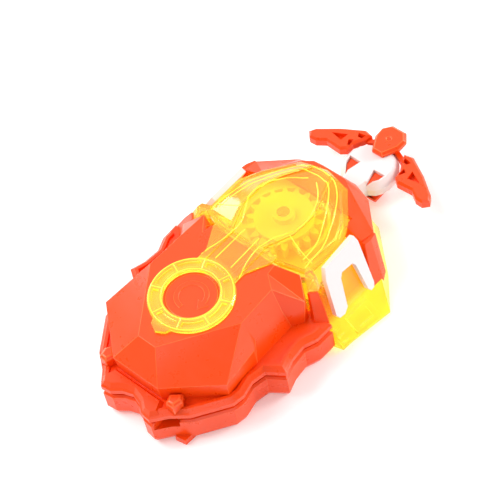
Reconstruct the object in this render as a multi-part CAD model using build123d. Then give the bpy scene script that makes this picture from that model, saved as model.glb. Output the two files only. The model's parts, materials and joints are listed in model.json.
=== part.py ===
"""String launcher for a spinning top, as an assembly of separate pieces.

Frame: the origin is on the launch axis, at the level the launcher rests on. +X is to the right, +Y runs from
the nose to the pull handle, +Z is up. The launcher is mirror-symmetric about X = 0, apart from the string.
All sizes are in millimetres.
"""

import os
from math import acos, atan2, cos, degrees, hypot, pi, radians, sin, sqrt, tan

from build123d import *

# ---- Driving dimensions: height levels ---------------------------------------------------------------------
WALL = 2.2  # thickness of the moulded shells
FIT_GAP = 0.25  # gap between mouldings that are assembled face to face
SHELL_GAP = 0.12  # gap round trim that lies on the rear housing
RUNNING_GAP = 0.06  # radial clearance of anything that turns or slides on a pin
LOWER_CASE_TOP = 12.3
PARTING_GAP = 1.6
UPPER_CASE_BOTTOM = LOWER_CASE_TOP + PARTING_GAP
UPPER_CASE_THICKNESS = 3.4
UPPER_CASE_TOP = UPPER_CASE_BOTTOM + UPPER_CASE_THICKNESS
HOOD_EDGE_Z = 26.4  # lower edge of the hood's sloping facets
DECK_Z = 36.5
SHOULDER_TOP = 27.3  # top of the shoulders behind the hood's horns
RING_TOP = DECK_Z + 1.7

# ---- Driving dimensions: plan ------------------------------------------------------------------------------
NOSE_Y = -41.6
FLANGE_HALF_WIDTH = 39.5
REAR_SPLIT_Y = 30.0  # plane between the front cases and the rear housing
REAR_Y = 83.0
SKIRT_HALF_WIDTH = 46.0
REAR_WALL_HALF_WIDTH = 30.0  # top of the drafted side walls
REAR_DECK_Z = 26.4

# ---- Driving dimensions: launch well, ring and gears -------------------------------------------------------
WELL_R = 25.0
WELL_DEPTH = 9.2
RING_R = 16.5
RING_BORE_R = 10.7
EMBLEM_R = 9.9
RING_SLOTS = 8
MODULE = 1.5
PRESSURE_ANGLE = 25.0
BACKLASH = 0.24
PINION_TEETH = 10
IDLER_TEETH = 20
SPOOL_TEETH = 18
GEAR_Z = 23.0
GEAR_THICKNESS = 4.5
SHAFT_R = 3.0
PIN_R = 2.0
SPOOL_PIN_R = 2.5
SPOOL_NECK_R = 4.6
SPRING_CUP_R = 14.4
BUSH_R = 5.4
HOOK_PLATE_Z = 5.2
HOOK_PLATE_R = 15.0
LOCK_PIN_R = 2.0
LOCK_PIN_Y = -19.5

# ---- Driving dimensions: string, spool and handle ----------------------------------------------------------
STRING_R = 0.6
STRING_Z = 9.0
OUTLET_R = 3.2
DRUM_R = 6.5
WOUND_R = 9.4
SPOOL_FLANGE_R = 14.0
SPOOL_BOTTOM = 4.2
SPOOL_FLANGE = 1.2
DRUM_LENGTH = 7.4
HANDLE_REACH = 18.0  # from the rear wall to the middle of the handle's hub
HANDLE_Z = STRING_Z
GRIP_HALF_SPAN = 30.8

# ---- Worked-out sizes --------------------------------------------------------------------------------------
HANDLE_Y = REAR_Y + HANDLE_REACH
IDLER_Y = MODULE * (PINION_TEETH + IDLER_TEETH) / 2
SPOOL_Y = IDLER_Y + MODULE * (IDLER_TEETH + SPOOL_TEETH) / 2
SPOOL_TOP = SPOOL_BOTTOM + 2 * SPOOL_FLANGE + DRUM_LENGTH
CHASSIS_TOP = GEAR_Z - 1.2
CHASSIS_THICKNESS = 2.0
CHASSIS_BOTTOM = CHASSIS_TOP - CHASSIS_THICKNESS
GEAR_TOP = GEAR_Z + GEAR_THICKNESS
WELL_CEILING_TOP = WELL_DEPTH + WALL
SPOOL_GEAR_TOP = GEAR_TOP + 1.8
SPOOL_TIP_R = MODULE * SPOOL_TEETH / 2 + 0.95 * MODULE
SPOOL_ROOT_R = MODULE * SPOOL_TEETH / 2 - 1.2 * MODULE

UP = Align.CENTER, Align.CENTER, Align.MIN
pieces = {}


# ---- Helpers -----------------------------------------------------------------------------------------------
def rod(radius, z0, z1, x=0.0, y=0.0):
    """An upright cylinder from z0 to z1."""
    return Pos(x, y, z0) * Cylinder(radius, z1 - z0, align=UP)


def tube(outer, inner, z0, z1, x=0.0, y=0.0):
    return rod(outer, z0, z1, x, y) - rod(inner, z0 - 1, z1 + 1, x, y)


def block(x0, x1, y0, y1, z0, z1):
    return Pos((x0 + x1) / 2, (y0 + y1) / 2, z0) * Box(x1 - x0, y1 - y0, z1 - z0, align=UP)


def mirrored(shape):
    return shape + mirror(shape, Plane.YZ)


def plate(outline, z0, z1):
    """A plate with the given plan outline."""
    face = make_face(Polyline(*[(x, y, z0) for x, y in outline], close=True).edges())
    return extrude(face, amount=z1 - z0, dir=(0, 0, 1))


def both_sides(half):
    """A closed outline from its half on the right, which starts and ends on the mirror plane or beside it."""
    left = [(-p[0], *p[1:]) for p in reversed(half) if p[0] > 1e-6]
    return list(half) + left


def inset(ring, distance):
    """The closed ring of (
        x, y, z,
    ) points moved inwards by distance in plan. Repeated points stay together."""
    plan = [(p[0], p[1]) for p in ring]
    corners = [p for i, p in enumerate(plan) if p != plan[i - 1]]
    count = len(corners)
    area = sum(
        corners[i - 1][0] * corners[i][1] - corners[i][0] * corners[i - 1][1] for i in range(count)
    )
    side = 1.0 if area > 0 else -1.0
    moved = {}
    for i, here in enumerate(corners):
        before = corners[i - 1]
        after = corners[(i + 1) % count]
        a = (here[0] - before[0], here[1] - before[1])
        b = (after[0] - here[0], after[1] - here[1])
        na = (-a[1] * side / hypot(*a), a[0] * side / hypot(*a))
        nb = (-b[1] * side / hypot(*b), b[0] * side / hypot(*b))
        share = distance / max(1 + na[0] * nb[0] + na[1] * nb[1], 0.4)
        moved[here] = (here[0] + (na[0] + nb[0]) * share, here[1] + (na[1] + nb[1]) * share)
    return [(*moved[p[0], p[1]], p[2]) for p in ring]


def polygon(corners):
    """A flat face, or None when fewer than three corners differ."""
    points = [Vector(*p) for i, p in enumerate(corners) if p != corners[i - 1]]
    if len(points) < 3:
        return None
    if len(points) == 3 and (points[1] - points[0]).cross(points[2] - points[0]).length < 1e-6:
        return None
    return Face(Wire.make_polygon(points, close=True))


def end_faces(ring):
    """The face that closes a ring: flat when the ring is level, else triangles round its middle."""
    if len({p[2] for p in ring}) == 1:
        return [polygon(ring)]
    middle = tuple(sum(p[axis] for p in ring) / len(ring) for axis in range(3))
    return [polygon((middle, ring[i - 1], ring[i])) for i in range(len(ring))]


def stack(*levels):
    """A faceted solid through closed rings of (x, y, z) points with equal counts, from bottom to top."""
    faces = end_faces(levels[0]) + end_faces(levels[-1])
    for low, high in zip(levels, levels[1:]):
        for i in range(len(low)):
            faces.append(polygon((low[i - 1], low[i], high[i])))
            faces.append(polygon((low[i - 1], high[i], high[i - 1])))
    return Part() + Solid(Shell([face for face in faces if face]))


def at_height(points, z):
    return [(x, y, z) for x, y in points]


def gear_outline(teeth, turn_deg):
    """Plan outline of a spur gear about the origin, with one tooth on the direction turn_deg."""
    pitch_r = MODULE * teeth / 2
    base_r = pitch_r * cos(radians(PRESSURE_ANGLE))
    tip_r = pitch_r + 0.95 * MODULE
    root_r = pitch_r - 1.2 * MODULE

    def involute(r):
        angle = acos(min(1.0, base_r / r))
        return tan(angle) - angle

    half_at_pitch = pi / (2 * teeth) - BACKLASH / (2 * pitch_r)
    flank = []
    for step in range(6):
        r = max(base_r, root_r) + (tip_r - max(base_r, root_r)) * step / 5
        flank.append((r, half_at_pitch + involute(pitch_r) - involute(r)))
    if base_r > root_r:
        flank.insert(0, (root_r, flank[0][1]))
    points = []
    for tooth in range(teeth):
        middle = radians(turn_deg) + 2 * pi * tooth / teeth
        for r, half in flank:
            points.append((r * cos(middle - half), r * sin(middle - half)))
        for r, half in reversed(flank):
            points.append((r * cos(middle + half), r * sin(middle + half)))
    return points


def gear(teeth, turn_deg, y):
    outline = [(px, py + y) for px, py in gear_outline(teeth, turn_deg)]
    return plate(outline, GEAR_Z, GEAR_TOP)


def keep(name, shape):
    pieces[name] = shape


# ---- Flanged cases -----------------------------------------------------------------------------------------
# Half outline of both flanged cases: scalloped nose, front shoulder, thumb hollow and finger waves.
FLANGE = [
    (0.0, NOSE_Y + 4.6),
    (4.4, NOSE_Y + 3.2),
    (8.0, NOSE_Y + 0.5),
    (12.2, NOSE_Y),
    (16.8, NOSE_Y + 5.6),
    (23.0, NOSE_Y + 10.4),
    (32.4, -17.8),
    (33.2, -13.0),
    (31.8, -6.5),
    (33.0, -0.7),
    (FLANGE_HALF_WIDTH, 3.6),
    (FLANGE_HALF_WIDTH - 2.0, 9.5),
    (FLANGE_HALF_WIDTH - 2.6, 16.5),
    (FLANGE_HALF_WIDTH - 0.3, 22.0),
    (FLANGE_HALF_WIDTH, REAR_SPLIT_Y - FIT_GAP),
    (0.0, REAR_SPLIT_Y - FIT_GAP),
]
SCREW_R = 1.3
SCREW_HEAD_R = 2.7
BOSS_R = 3.4
CASE_SCREWS = [(22.0, -22.0), (31.5, 9.0), (27.0, 26.0)]
REAR_SCREWS = [(28.0, 40.0), (20.0, 66.0)]


def flange_ring(z, distance=0.0):
    return inset(at_height(both_sides(FLANGE), z), distance)


CLIP = [(13.6, -30.8), (17.7, -27.5), (19.8, -30.3), (18.8, -34.3), (15.2, -34.6)]
CLIP_HEIGHT = 5.4
CLIP_DEPTH = 1.6  # how far the shoulder clips stand in the upper case
# Raised block on top of the nose, and the shoulder that rises behind each horn of the hood.
NOSE_BLOCK = [
    (0.0, NOSE_Y + 5.3), (4.7, NOSE_Y + 3.9), (8.3, NOSE_Y + 1.2), (11.9, NOSE_Y + 0.8), (14.2, NOSE_Y + 3.6),
    (12.0, -32.9), (0.0, -32.9),
]
RIM_HEIGHT = 1.1


def rear_shoulder():
    back = REAR_SPLIT_Y - FIT_GAP
    low = [(31.6, 27.4), (34.6, 26.4), (38.6, back), (31.6, back)]
    middle = [(30.9, 28.2), (32.4, 28.2), (35.4, 31.4), (30.9, 33.2)]
    high = [(28.8, 30.2), (29.6, 30.4), (31.8, 33.0), (28.8, 33.6)]
    return stack(at_height(low, UPPER_CASE_TOP - 0.3), at_height(middle, 22.4), at_height(high, SHOULDER_TOP))


def lower_case():
    chamfer = 1.3
    body = stack(
        flange_ring(0.0, chamfer), flange_ring(3.0), flange_ring(LOWER_CASE_TOP - 0.8),
        flange_ring(LOWER_CASE_TOP, 0.8),
    )
    body -= stack(flange_ring(WALL, WALL + chamfer), flange_ring(LOWER_CASE_TOP + 1, WALL + chamfer))
    body += rod(WELL_R + WALL, 0.4, WELL_CEILING_TOP)
    body -= rod(WELL_R, -1, WELL_DEPTH)
    bosses = [tube(BOSS_R, SCREW_R + 0.02, WALL, UPPER_CASE_BOTTOM - FIT_GAP, x, y) for x, y in CASE_SCREWS]
    for boss in bosses:
        body += mirrored(boss)
    for x, y in CASE_SCREWS:
        body -= mirrored(rod(SCREW_R + 0.02, -1, 20, x, y) + rod(SCREW_HEAD_R + 0.2, -1, 1.4, x, y))
    # mouths of the two string-hook pockets beside the nose
    body -= mirrored(block(12.6, 19.4, NOSE_Y - 1, NOSE_Y + 9.4, LOWER_CASE_TOP - 3.4, LOWER_CASE_TOP + 1))
    body -= rod(BUSH_R + 0.02, WELL_DEPTH - 1, WELL_CEILING_TOP + 1)
    body -= rod(LOCK_PIN_R + RUNNING_GAP, WELL_DEPTH - 1, WELL_CEILING_TOP + 1, 0, LOCK_PIN_Y)
    # small toe under each side of the nose
    toe = plate([(17.4, -36.2), (21.8, -35.4), (22.2, -29.8), (18.6, -30.4)], 0.0, 3.0)
    return body + mirrored(toe)


def upper_case():
    chamfer = 0.7
    body = stack(
        flange_ring(UPPER_CASE_BOTTOM, 0.5), flange_ring(UPPER_CASE_BOTTOM + 0.6),
        flange_ring(UPPER_CASE_TOP - chamfer), flange_ring(UPPER_CASE_TOP, chamfer),
    )
    # locating lip that closes the parting gap from inside
    lip_out = WALL + 1.3 + FIT_GAP
    lip = stack(flange_ring(LOWER_CASE_TOP - 1.6, lip_out), flange_ring(UPPER_CASE_BOTTOM + 0.2, lip_out))
    lip -= stack(
        flange_ring(LOWER_CASE_TOP - 3, lip_out + 1.4), flange_ring(UPPER_CASE_BOTTOM + 1, lip_out + 1.4)
    )
    lip -= mirrored(block(11.5, 20.5, NOSE_Y, NOSE_Y + 12, 0, UPPER_CASE_BOTTOM))
    lip -= block(-50, 50, REAR_SPLIT_Y - 6, REAR_SPLIT_Y, 0, UPPER_CASE_BOTTOM - 0.01)
    for x, y in CASE_SCREWS:
        lip -= mirrored(rod(BOSS_R + FIT_GAP, 0, 30, x, y))
    body += lip
    body -= rod(SHAFT_R + 1.2, 0, 30)
    body -= rod(PIN_R + 0.01, 0, 30, 0, IDLER_Y)
    body += tube(4.2, PIN_R + 0.01, UPPER_CASE_TOP - 0.1, CHASSIS_BOTTOM - 0.01, 0, IDLER_Y)
    for x, y in CASE_SCREWS:
        body -= mirrored(rod(SCREW_R + 0.02, 0, UPPER_CASE_TOP - 0.8, x, y))
    rim = stack(
        flange_ring(UPPER_CASE_TOP - 0.2, chamfer - 0.1), flange_ring(UPPER_CASE_TOP + RIM_HEIGHT, 1.7),
    )
    rim -= stack(flange_ring(UPPER_CASE_TOP - 0.4, 3.4), flange_ring(UPPER_CASE_TOP + RIM_HEIGHT + 0.1, 2.8))
    rim -= block(-50, 50, REAR_SPLIT_Y - 4.5, REAR_SPLIT_Y + 1, 0, 60)
    rim -= plate([p[:2] for p in inset(both_sides(at_height(HOOD_FOOT, 0.0)), -FIT_GAP)], 0, 60)
    body += rim
    nose = stack(
        both_sides(at_height(NOSE_BLOCK, UPPER_CASE_TOP - 0.3)),
        both_sides(at_height(NOSE_BLOCK, UPPER_CASE_TOP + 0.1)),
        inset(both_sides(at_height(NOSE_BLOCK, UPPER_CASE_TOP + 1.9)), 1.2),
    )
    body += nose + mirrored(rear_shoulder())
    clip_pocket = inset(at_height(CLIP, 0.0), -0.1)
    body -= mirrored(plate([p[:2] for p in clip_pocket], UPPER_CASE_TOP - CLIP_DEPTH, 40))
    # cup over the lock pin
    body += rod(5.0, UPPER_CASE_TOP - 0.1, 20.0, 0, LOCK_PIN_Y)
    body -= rod(3.6, 0, 18.8, 0, LOCK_PIN_Y)
    return body


# ---- Hood --------------------------------------------------------------------------------------------------
# Three rings of the gem-shaped hood, right half, each with the same eleven corners from the nose to the rear.
HOOD_FOOT = [
    (0.0, -32.4), (10.6, -32.4), (29.6, -16.6), (28.6, 0.4), (28.4, 2.8), (28.4, 20.0),
    (31.2, 24.2), (30.4, 27.4), (24.2, 33.0), (16.0, 30.6), (0.0, 30.6),
]
HOOD_EDGE = [
    (0.0, -33.3, HOOD_EDGE_Z), (11.2, -33.3, HOOD_EDGE_Z), (30.6, -17.0, HOOD_EDGE_Z),
    (28.2, 0.6, HOOD_EDGE_Z - 1.4),
    (26.0, 3.7, HOOD_EDGE_Z), (26.0, 19.0, HOOD_EDGE_Z), (29.4, 22.5, HOOD_EDGE_Z - 2.4),
    (30.6, 26.8, HOOD_EDGE_Z + 1.0),
    (24.0, 32.6, HOOD_EDGE_Z + 6.0), (16.0, 29.4, HOOD_EDGE_Z + 6.0), (0.0, 29.4, HOOD_EDGE_Z + 6.0),
]
DECK_EDGE = [
    (0.0, -24.5), (4.2, -24.5), (22.7, 1.9), (22.7, 1.9), (22.7, 1.9), (22.0, 19.5),
    (22.0, 19.5), (22.0, 19.5), (16.3, 24.0), (15.6, 28.5), (0.0, 28.5),
]
TUNNEL_HALF_WIDTH = 18.5


def hood():
    foot = both_sides(at_height(HOOD_FOOT, UPPER_CASE_TOP + 0.02))
    edge = both_sides(HOOD_EDGE)
    deck = both_sides(at_height(DECK_EDGE, DECK_Z))
    body = stack(foot, edge, deck)
    low = inset([(x, y, z - 3) for x, y, z in foot], WALL)
    middle = inset(
        [(x, y, z - 1.0) for x, y, z in both_sides([(x, y, HOOD_EDGE_Z) for x, y, _ in HOOD_EDGE])],
        WALL + 0.4,
    )
    high = inset([(x, y, z - WALL) for x, y, z in deck], WALL)
    body -= stack(low, middle, high)
    # way through the rear wall for the gear train
    body -= block(-TUNNEL_HALF_WIDTH, TUNNEL_HALF_WIDTH, 20, 40, UPPER_CASE_TOP - 1, DECK_Z - WALL)
    # seat of the emblem cap, and bearing boss of the launch shaft
    body += rod(5.6, GEAR_TOP + 0.8, DECK_Z - WALL + 0.1)
    body -= rod(SHAFT_R + RUNNING_GAP, 0, DECK_Z - WALL - 0.4)
    body += rod(4.6, GEAR_TOP + 0.8, DECK_Z - WALL + 0.1, 0, IDLER_Y)
    body -= rod(PIN_R + 0.01, 0, DECK_Z - WALL - 0.4, 0, IDLER_Y)
    body -= rod(EMBLEM_R + 0.1, DECK_Z - 1.0, DECK_Z + 1)
    return body


def hood_lugs():
    """Two clips in front of the hood's shoulders."""
    crest = inset(at_height(CLIP, UPPER_CASE_TOP + CLIP_HEIGHT), 1.0)
    clip = stack(
        at_height(CLIP, UPPER_CASE_TOP - CLIP_DEPTH),
        at_height(CLIP, UPPER_CASE_TOP + CLIP_HEIGHT - 1.2),
        crest,
    )
    return mirrored(clip)


def emblem():
    """Round cap in the ring, with a raised curved arrow that shows the launch direction."""
    cap = rod(EMBLEM_R, DECK_Z - 1.0 + 0.02, DECK_Z + 0.25)
    cap = chamfer_top(cap, 0.2)
    arrow = tube(6.6, 4.8, DECK_Z + 0.2, DECK_Z + 0.6)
    arrow -= block(0, 12, -12, 0, 0, 60)
    head = plate([(3.2, 0.2), (8.2, 0.2), (5.7, -3.2)], DECK_Z + 0.2, DECK_Z + 0.6)
    return cap + arrow + head


def chamfer_top(shape, size):
    top = shape.faces().sort_by(Axis.Z)[-1]
    return chamfer(top.edges(), size)


# ---- Amber ring and spool window ---------------------------------------------------------------------------
WINDOW_FRONT_Y = 30.4
WINDOW_PLATEAU = [
    (0.0, WINDOW_FRONT_Y, DECK_Z + 1.2), (9.0, WINDOW_FRONT_Y, DECK_Z + 1.2), (10.4, 34.0, DECK_Z + 1.0),
    (13.2, 42.0, DECK_Z + 0.6), (13.6, 54.0, DECK_Z), (9.4, 64.0, DECK_Z - 1.0), (5.0, 74.6, DECK_Z - 3.6),
    (0.0, 75.0, DECK_Z - 3.6),
]
WINDOW_EDGE = [
    (0.0, WINDOW_FRONT_Y, DECK_Z - 0.6), (15.2, WINDOW_FRONT_Y, DECK_Z - 0.8), (24.4, 34.6, 32.4),
    (25.4, 37.0, 31.2),
    (26.0, 54.0, 29.9), (21.8, 62.6, 29.4), (11.8, 74.6, 30.2), (0.0, 77.4, 30.6),
]
WINDOW_WALL = 1.8
# Middle lines of the two raised ridges on each side, as they run over the cover.
INNER_RIDGE = [
    (7.6, 31.6, DECK_Z + 1.2), (9.4, 35.6, DECK_Z + 0.9), (12.5, 43.0, DECK_Z + 0.5), (12.8, 54.0, DECK_Z),
    (8.9, 63.4, DECK_Z - 1.0), (4.4, 73.6, DECK_Z - 3.4),
]
OUTER_RIDGE = [(22.8, 38.0, 32.2), (23.6, 53.6, 30.9), (19.9, 61.2, 30.8), (11.2, 71.4, 31.4)]
RIDGE_WIDTH = 1.5
RIDGE_HEIGHT = 0.7
# Corner tab that drops between the horn and the bracket.
TAB_FOOT = [(28.5, 30.6), (31.5, 33.4), (30.4, 35.6), (24.6, 37.2), (24.0, 34.9)]
TAB_TOP = [(25.8, 33.4), (28.8, 34.2), (28.4, 36.2), (24.4, 37.6), (24.0, 35.0)]
TAB_TOP_Z = 32.2


def ridge(path):
    """A raised bar along the path, sunk a little into the cover."""
    bar = Part()
    for (x0, y0, z0), (x1, y1, z1) in zip(path, path[1:]):
        run = hypot(x1 - x0, y1 - y0)
        ahead = ((x1 - x0) / run, (y1 - y0) / run)
        rings = []
        for half, lift in ((RIDGE_WIDTH / 2, -1.0), (RIDGE_WIDTH / 2 - 0.3, RIDGE_HEIGHT)):
            across = (ahead[1] * half, -ahead[0] * half)
            over = (ahead[0] * half * 0.5, ahead[1] * half * 0.5)
            rings.append([
                (x0 + across[0] - over[0], y0 + across[1] - over[1], z0 + lift),
                (x1 + across[0] + over[0], y1 + across[1] + over[1], z1 + lift),
                (x1 - across[0] + over[0], y1 - across[1] + over[1], z1 + lift),
                (x0 - across[0] - over[0], y0 - across[1] - over[1], z0 + lift),
            ])
        bar += stack(*rings)
    return bar


def window_envelope():
    """The window cover's outside, down to its lower edge."""
    edge = both_sides(WINDOW_EDGE)
    base = [(x, y, z - WINDOW_WALL - 0.05) for x, y, z in edge]
    return stack(base, edge, both_sides(WINDOW_PLATEAU))


def window_cover():
    """Clear amber moulding: ring, bar with rails, and the cover over the spool."""
    edge = both_sides(WINDOW_EDGE)
    plateau = both_sides(WINDOW_PLATEAU)
    base = [(x, y, z - WINDOW_WALL) for x, y, z in edge]
    body = stack(base, edge, plateau)
    tab = stack(at_height(TAB_FOOT, SHOULDER_TOP + 0.1), at_height(TAB_TOP, TAB_TOP_Z))
    body += mirrored(tab + ridge(INNER_RIDGE) + ridge(OUTER_RIDGE))
    inner_edge = inset([(x, y, z - 2 * WINDOW_WALL) for x, y, z in edge], WINDOW_WALL)
    inner_mid = inset([(x, y, z - WINDOW_WALL * 0.9) for x, y, z in edge], WINDOW_WALL)
    inner_top = inset([(x, y, z - WINDOW_WALL) for x, y, z in plateau], 0.6)
    body -= stack(inner_edge, inner_mid, inner_top)
    seat = DECK_Z + 0.05
    bar = block(-9.4, 9.4, RING_R - 5, WINDOW_FRONT_Y + 1.5, seat, DECK_Z + 0.95)
    bar += mirrored(block(6.4, 8.8, RING_R - 2, WINDOW_FRONT_Y + 1.0, DECK_Z + 0.5, DECK_Z + 1.7))
    gusset = [(9.0, 18.0), (14.6, WINDOW_FRONT_Y - 2), (14.6, WINDOW_FRONT_Y + 1), (9.0, WINDOW_FRONT_Y + 1)]
    bar += mirrored(plate(gusset, seat, DECK_Z + 0.9))
    body += bar
    body += chamfer_top(rod(RING_R, seat, RING_TOP), 0.7)
    pointer = both_sides([(0.0, -RING_R - 3.4), (3.4, -RING_R - 1.6), (5.4, -RING_R + 3), (0.0, -RING_R + 3)])
    body += plate(pointer, seat, RING_TOP - 0.3)
    body -= rod(RING_BORE_R, DECK_Z - 1, RING_TOP + 1)
    return body - ring_slots()


def ring_slots():
    """Recessed windows round the ring."""
    groove = tube(RING_R - 1.6, RING_BORE_R + 1.7, DECK_Z + 0.7, RING_TOP + 1)
    for i in range(RING_SLOTS):
        spoke = Rot(0, 0, 360 / RING_SLOTS * (i + 0.5)) * block(0, 30, -1.1, 1.1, 0, 60)
        groove -= spoke
    return groove


# ---- Rear housing, rim and brackets ------------------------------------------------------------------------
REAR_SKIRT = [
    (0.0, REAR_SPLIT_Y), (38.6, REAR_SPLIT_Y - 0.2), (SKIRT_HALF_WIDTH - 3.4, REAR_SPLIT_Y + 0.8),
    (SKIRT_HALF_WIDTH - 3.0, 36.0),
    (SKIRT_HALF_WIDTH, 54.5), (35.0, 67.0), (18.0, REAR_Y - 0.6), (8.4, REAR_Y + 1.4), (0.0, REAR_Y + 1.4),
]
REAR_WAIST = [
    (0.0, REAR_SPLIT_Y), (33.0, REAR_SPLIT_Y + 0.6), (35.0, REAR_SPLIT_Y + 2.6), (36.2, 37.6),
    (36.2, 54.2), (34.6, 63.0), (17.6, 79.6), (8.4, REAR_Y - 0.4), (0.0, REAR_Y - 0.4),
]
REAR_TOP = [
    (0.0, 36.4), (26.6, 36.4), (28.6, 37.4), (REAR_WALL_HALF_WIDTH, 40.4),
    (REAR_WALL_HALF_WIDTH, 60.4), (28.8, 66.4), (17.0, 78.2), (8.4, REAR_Y - 1.8), (0.0, REAR_Y - 1.8),
]
SKIRT_EDGE_Z = 1.9
REAR_WAIST_Z = 9.6
REAR_TOP_Z = REAR_DECK_Z - 4.4


def rear_rings(shrink):
    skirt = inset(both_sides(at_height(REAR_SKIRT, 0.0)), shrink)
    waist = inset(both_sides(at_height(REAR_WAIST, REAR_WAIST_Z)), shrink)
    top = inset(both_sides(at_height(REAR_TOP, REAR_TOP_Z)), shrink)
    return skirt, waist, top


def raised(ring, z):
    return [(x, y, z) for x, y, _ in ring]


def rear_envelope(gap):
    """The rear housing's outside, larger all round by the gap."""
    skirt, waist, top = rear_rings(-gap)
    return stack(raised(skirt, SKIRT_EDGE_Z), waist, raised(top, REAR_TOP_Z + gap))


def skirt_patch(y0, y1, z0, z1, out):
    """Four points over the flared side of the skirt, out from its surface."""
    points = []
    for y, z in ((y0, z0), (y1, z0), (y1, z1), (y0, z1)):
        skirt_x = SKIRT_HALF_WIDTH - 3.0 + 3.0 * (y - 36.0) / 18.5 if y > 36.0 else SKIRT_HALF_WIDTH - 3.2
        waist_x = 36.2 if y > 37.6 else 35.4
        share = (z - SKIRT_EDGE_Z) / (REAR_WAIST_Z - SKIRT_EDGE_Z)
        points.append((skirt_x + (waist_x - skirt_x) * share + out, y, z))
    return points


def skirt_relief():
    """Raised frame on the side of the skirt, and three ribs at its front corner."""
    frame = stack(skirt_patch(38.6, 51.0, 2.6, 8.6, -0.6), skirt_patch(39.0, 50.6, 2.9, 8.3, 0.9))
    frame -= stack(skirt_patch(41.4, 48.2, 4.1, 7.2, 0.2), skirt_patch(41.4, 48.2, 4.1, 7.2, 2.0))
    for i in range(3):
        z = 2.4 + 2.0 * i
        frame += stack(
            skirt_patch(31.8, 35.2, z, z + 1.2, -0.6), skirt_patch(32.0, 35.0, z + 0.2, z + 1.0, 0.7),
        )
    return frame


def rear_housing():
    skirt, waist, top = rear_rings(0.0)
    body = stack(inset(skirt, 0.8), raised(skirt, 0.9), raised(skirt, SKIRT_EDGE_Z), waist, top)
    inner_skirt, inner_waist, inner_top = rear_rings(WALL)
    body -= stack(
        raised(inner_skirt, WALL), raised(inset(inner_waist, 0.4), REAR_WAIST_Z),
        raised(inner_top, REAR_DECK_Z),
    )
    # open front above the floor, where the gear train passes
    body -= block(-29, 29, REAR_SPLIT_Y - 2, REAR_SPLIT_Y + 12, UPPER_CASE_BOTTOM, 40)
    for x, y in REAR_SCREWS:
        body += mirrored(tube(BOSS_R, SCREW_R + 0.02, WALL - 0.2, CHASSIS_BOTTOM - FIT_GAP, x, y))
        body -= mirrored(rod(SCREW_R + 0.02, -1, 30, x, y) + rod(SCREW_HEAD_R + 0.2, -1, 1.4, x, y))
    body += tube(5.0, SPOOL_PIN_R + 0.01, WALL - 0.2, SPOOL_BOTTOM - 0.3, 0, SPOOL_Y)
    body += mirrored(skirt_relief())
    # string outlet
    body -= Pos(0, REAR_Y - 12, STRING_Z) * Rot(-90, 0, 0) * Cylinder(OUTLET_R + 0.02, 30, align=UP)
    return body



def rear_rim():
    """Red band round the rear of the deck, with a strip down each rear corner."""
    outer = [
        (0.0, 60.8, 24.6), (29.4, 60.8, 26.4), (29.7, 67.6, 24.4), (17.4, 79.4, 22.6),
        (8.4, REAR_Y - 0.2, 21.9),
        (0.0, REAR_Y - 0.2, 21.9),
    ]
    crest = [
        (0.0, 61.4, 28.8), (22.4, 61.4, 28.8), (22.0, 63.2, 28.6), (12.4, 75.4, 29.4), (7.8, 78.0, 29.9),
        (0.0, 78.2, 29.9),
    ]
    base = [(x, y, z - 3.6) for x, y, z in outer]
    body = stack(both_sides(base), both_sides(outer), both_sides(crest))
    hollow_low = inset(both_sides(base), WALL)
    hollow = stack([(x, y, z - 3) for x, y, z in hollow_low], [(x, y, z + 2.4) for x, y, z in hollow_low],
                   [(x, y, z - WALL) for x, y, z in inset(both_sides(crest), 0.8)])
    body -= hollow
    body -= block(-21, 21, 50, 66, 0, 40)
    body += mirrored(rim_strip())
    return body - rear_envelope(SHELL_GAP) - window_envelope()


def rim_strip():
    """Side strip of the rim, lying on the drafted wall behind the bracket."""
    low = [(37.4, 55.8, 8.2), (37.6, 61.6, 6.4), (35.6, 65.4, 7.0), (31.9, 63.4, 7.6), (32.5, 55.8, 7.8)]
    high = [
        (31.4, 60.6, 26.0), (31.4, 64.0, 25.2), (30.2, 67.9, 24.4), (27.6, 66.4, 24.4), (28.0, 60.6, 25.6),
    ]
    return stack(low, high)


def side_bracket():
    """White inverted-U bracket on the right side wall, reaching up to the window's edge."""
    slope = (36.2 - REAR_WALL_HALF_WIDTH) / (REAR_TOP_Z - REAR_WAIST_Z)
    tilt = degrees(atan2(slope, 1))

    def on_wall(y, z):
        return (REAR_WALL_HALF_WIDTH + (REAR_TOP_Z - z) * slope, y, z)

    thick = 2.4
    outline = [
        (41.4, 29.2), (39.0, 25.4), (35.4, 12.4), (36.2, 10.8), (39.0, 10.4), (41.4, 11.8), (45.0, 21.8),
        (46.6, 23.2), (52.4, 22.6), (53.2, 21.2), (52.8, 10.6), (53.6, 9.2), (55.4, 9.4), (56.4, 10.8),
        (59.2, 27.4), (58.6, 30.2),
    ]
    low = [on_wall(y, z) for y, z in outline]
    face = Face(Wire.make_polygon([Vector(*p) for p in low], close=True))
    normal = Vector(cos(radians(tilt)), 0, sin(radians(tilt)))
    slab = extrude(face, amount=thick, dir=normal)
    return slab - rear_envelope(SHELL_GAP)


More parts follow.
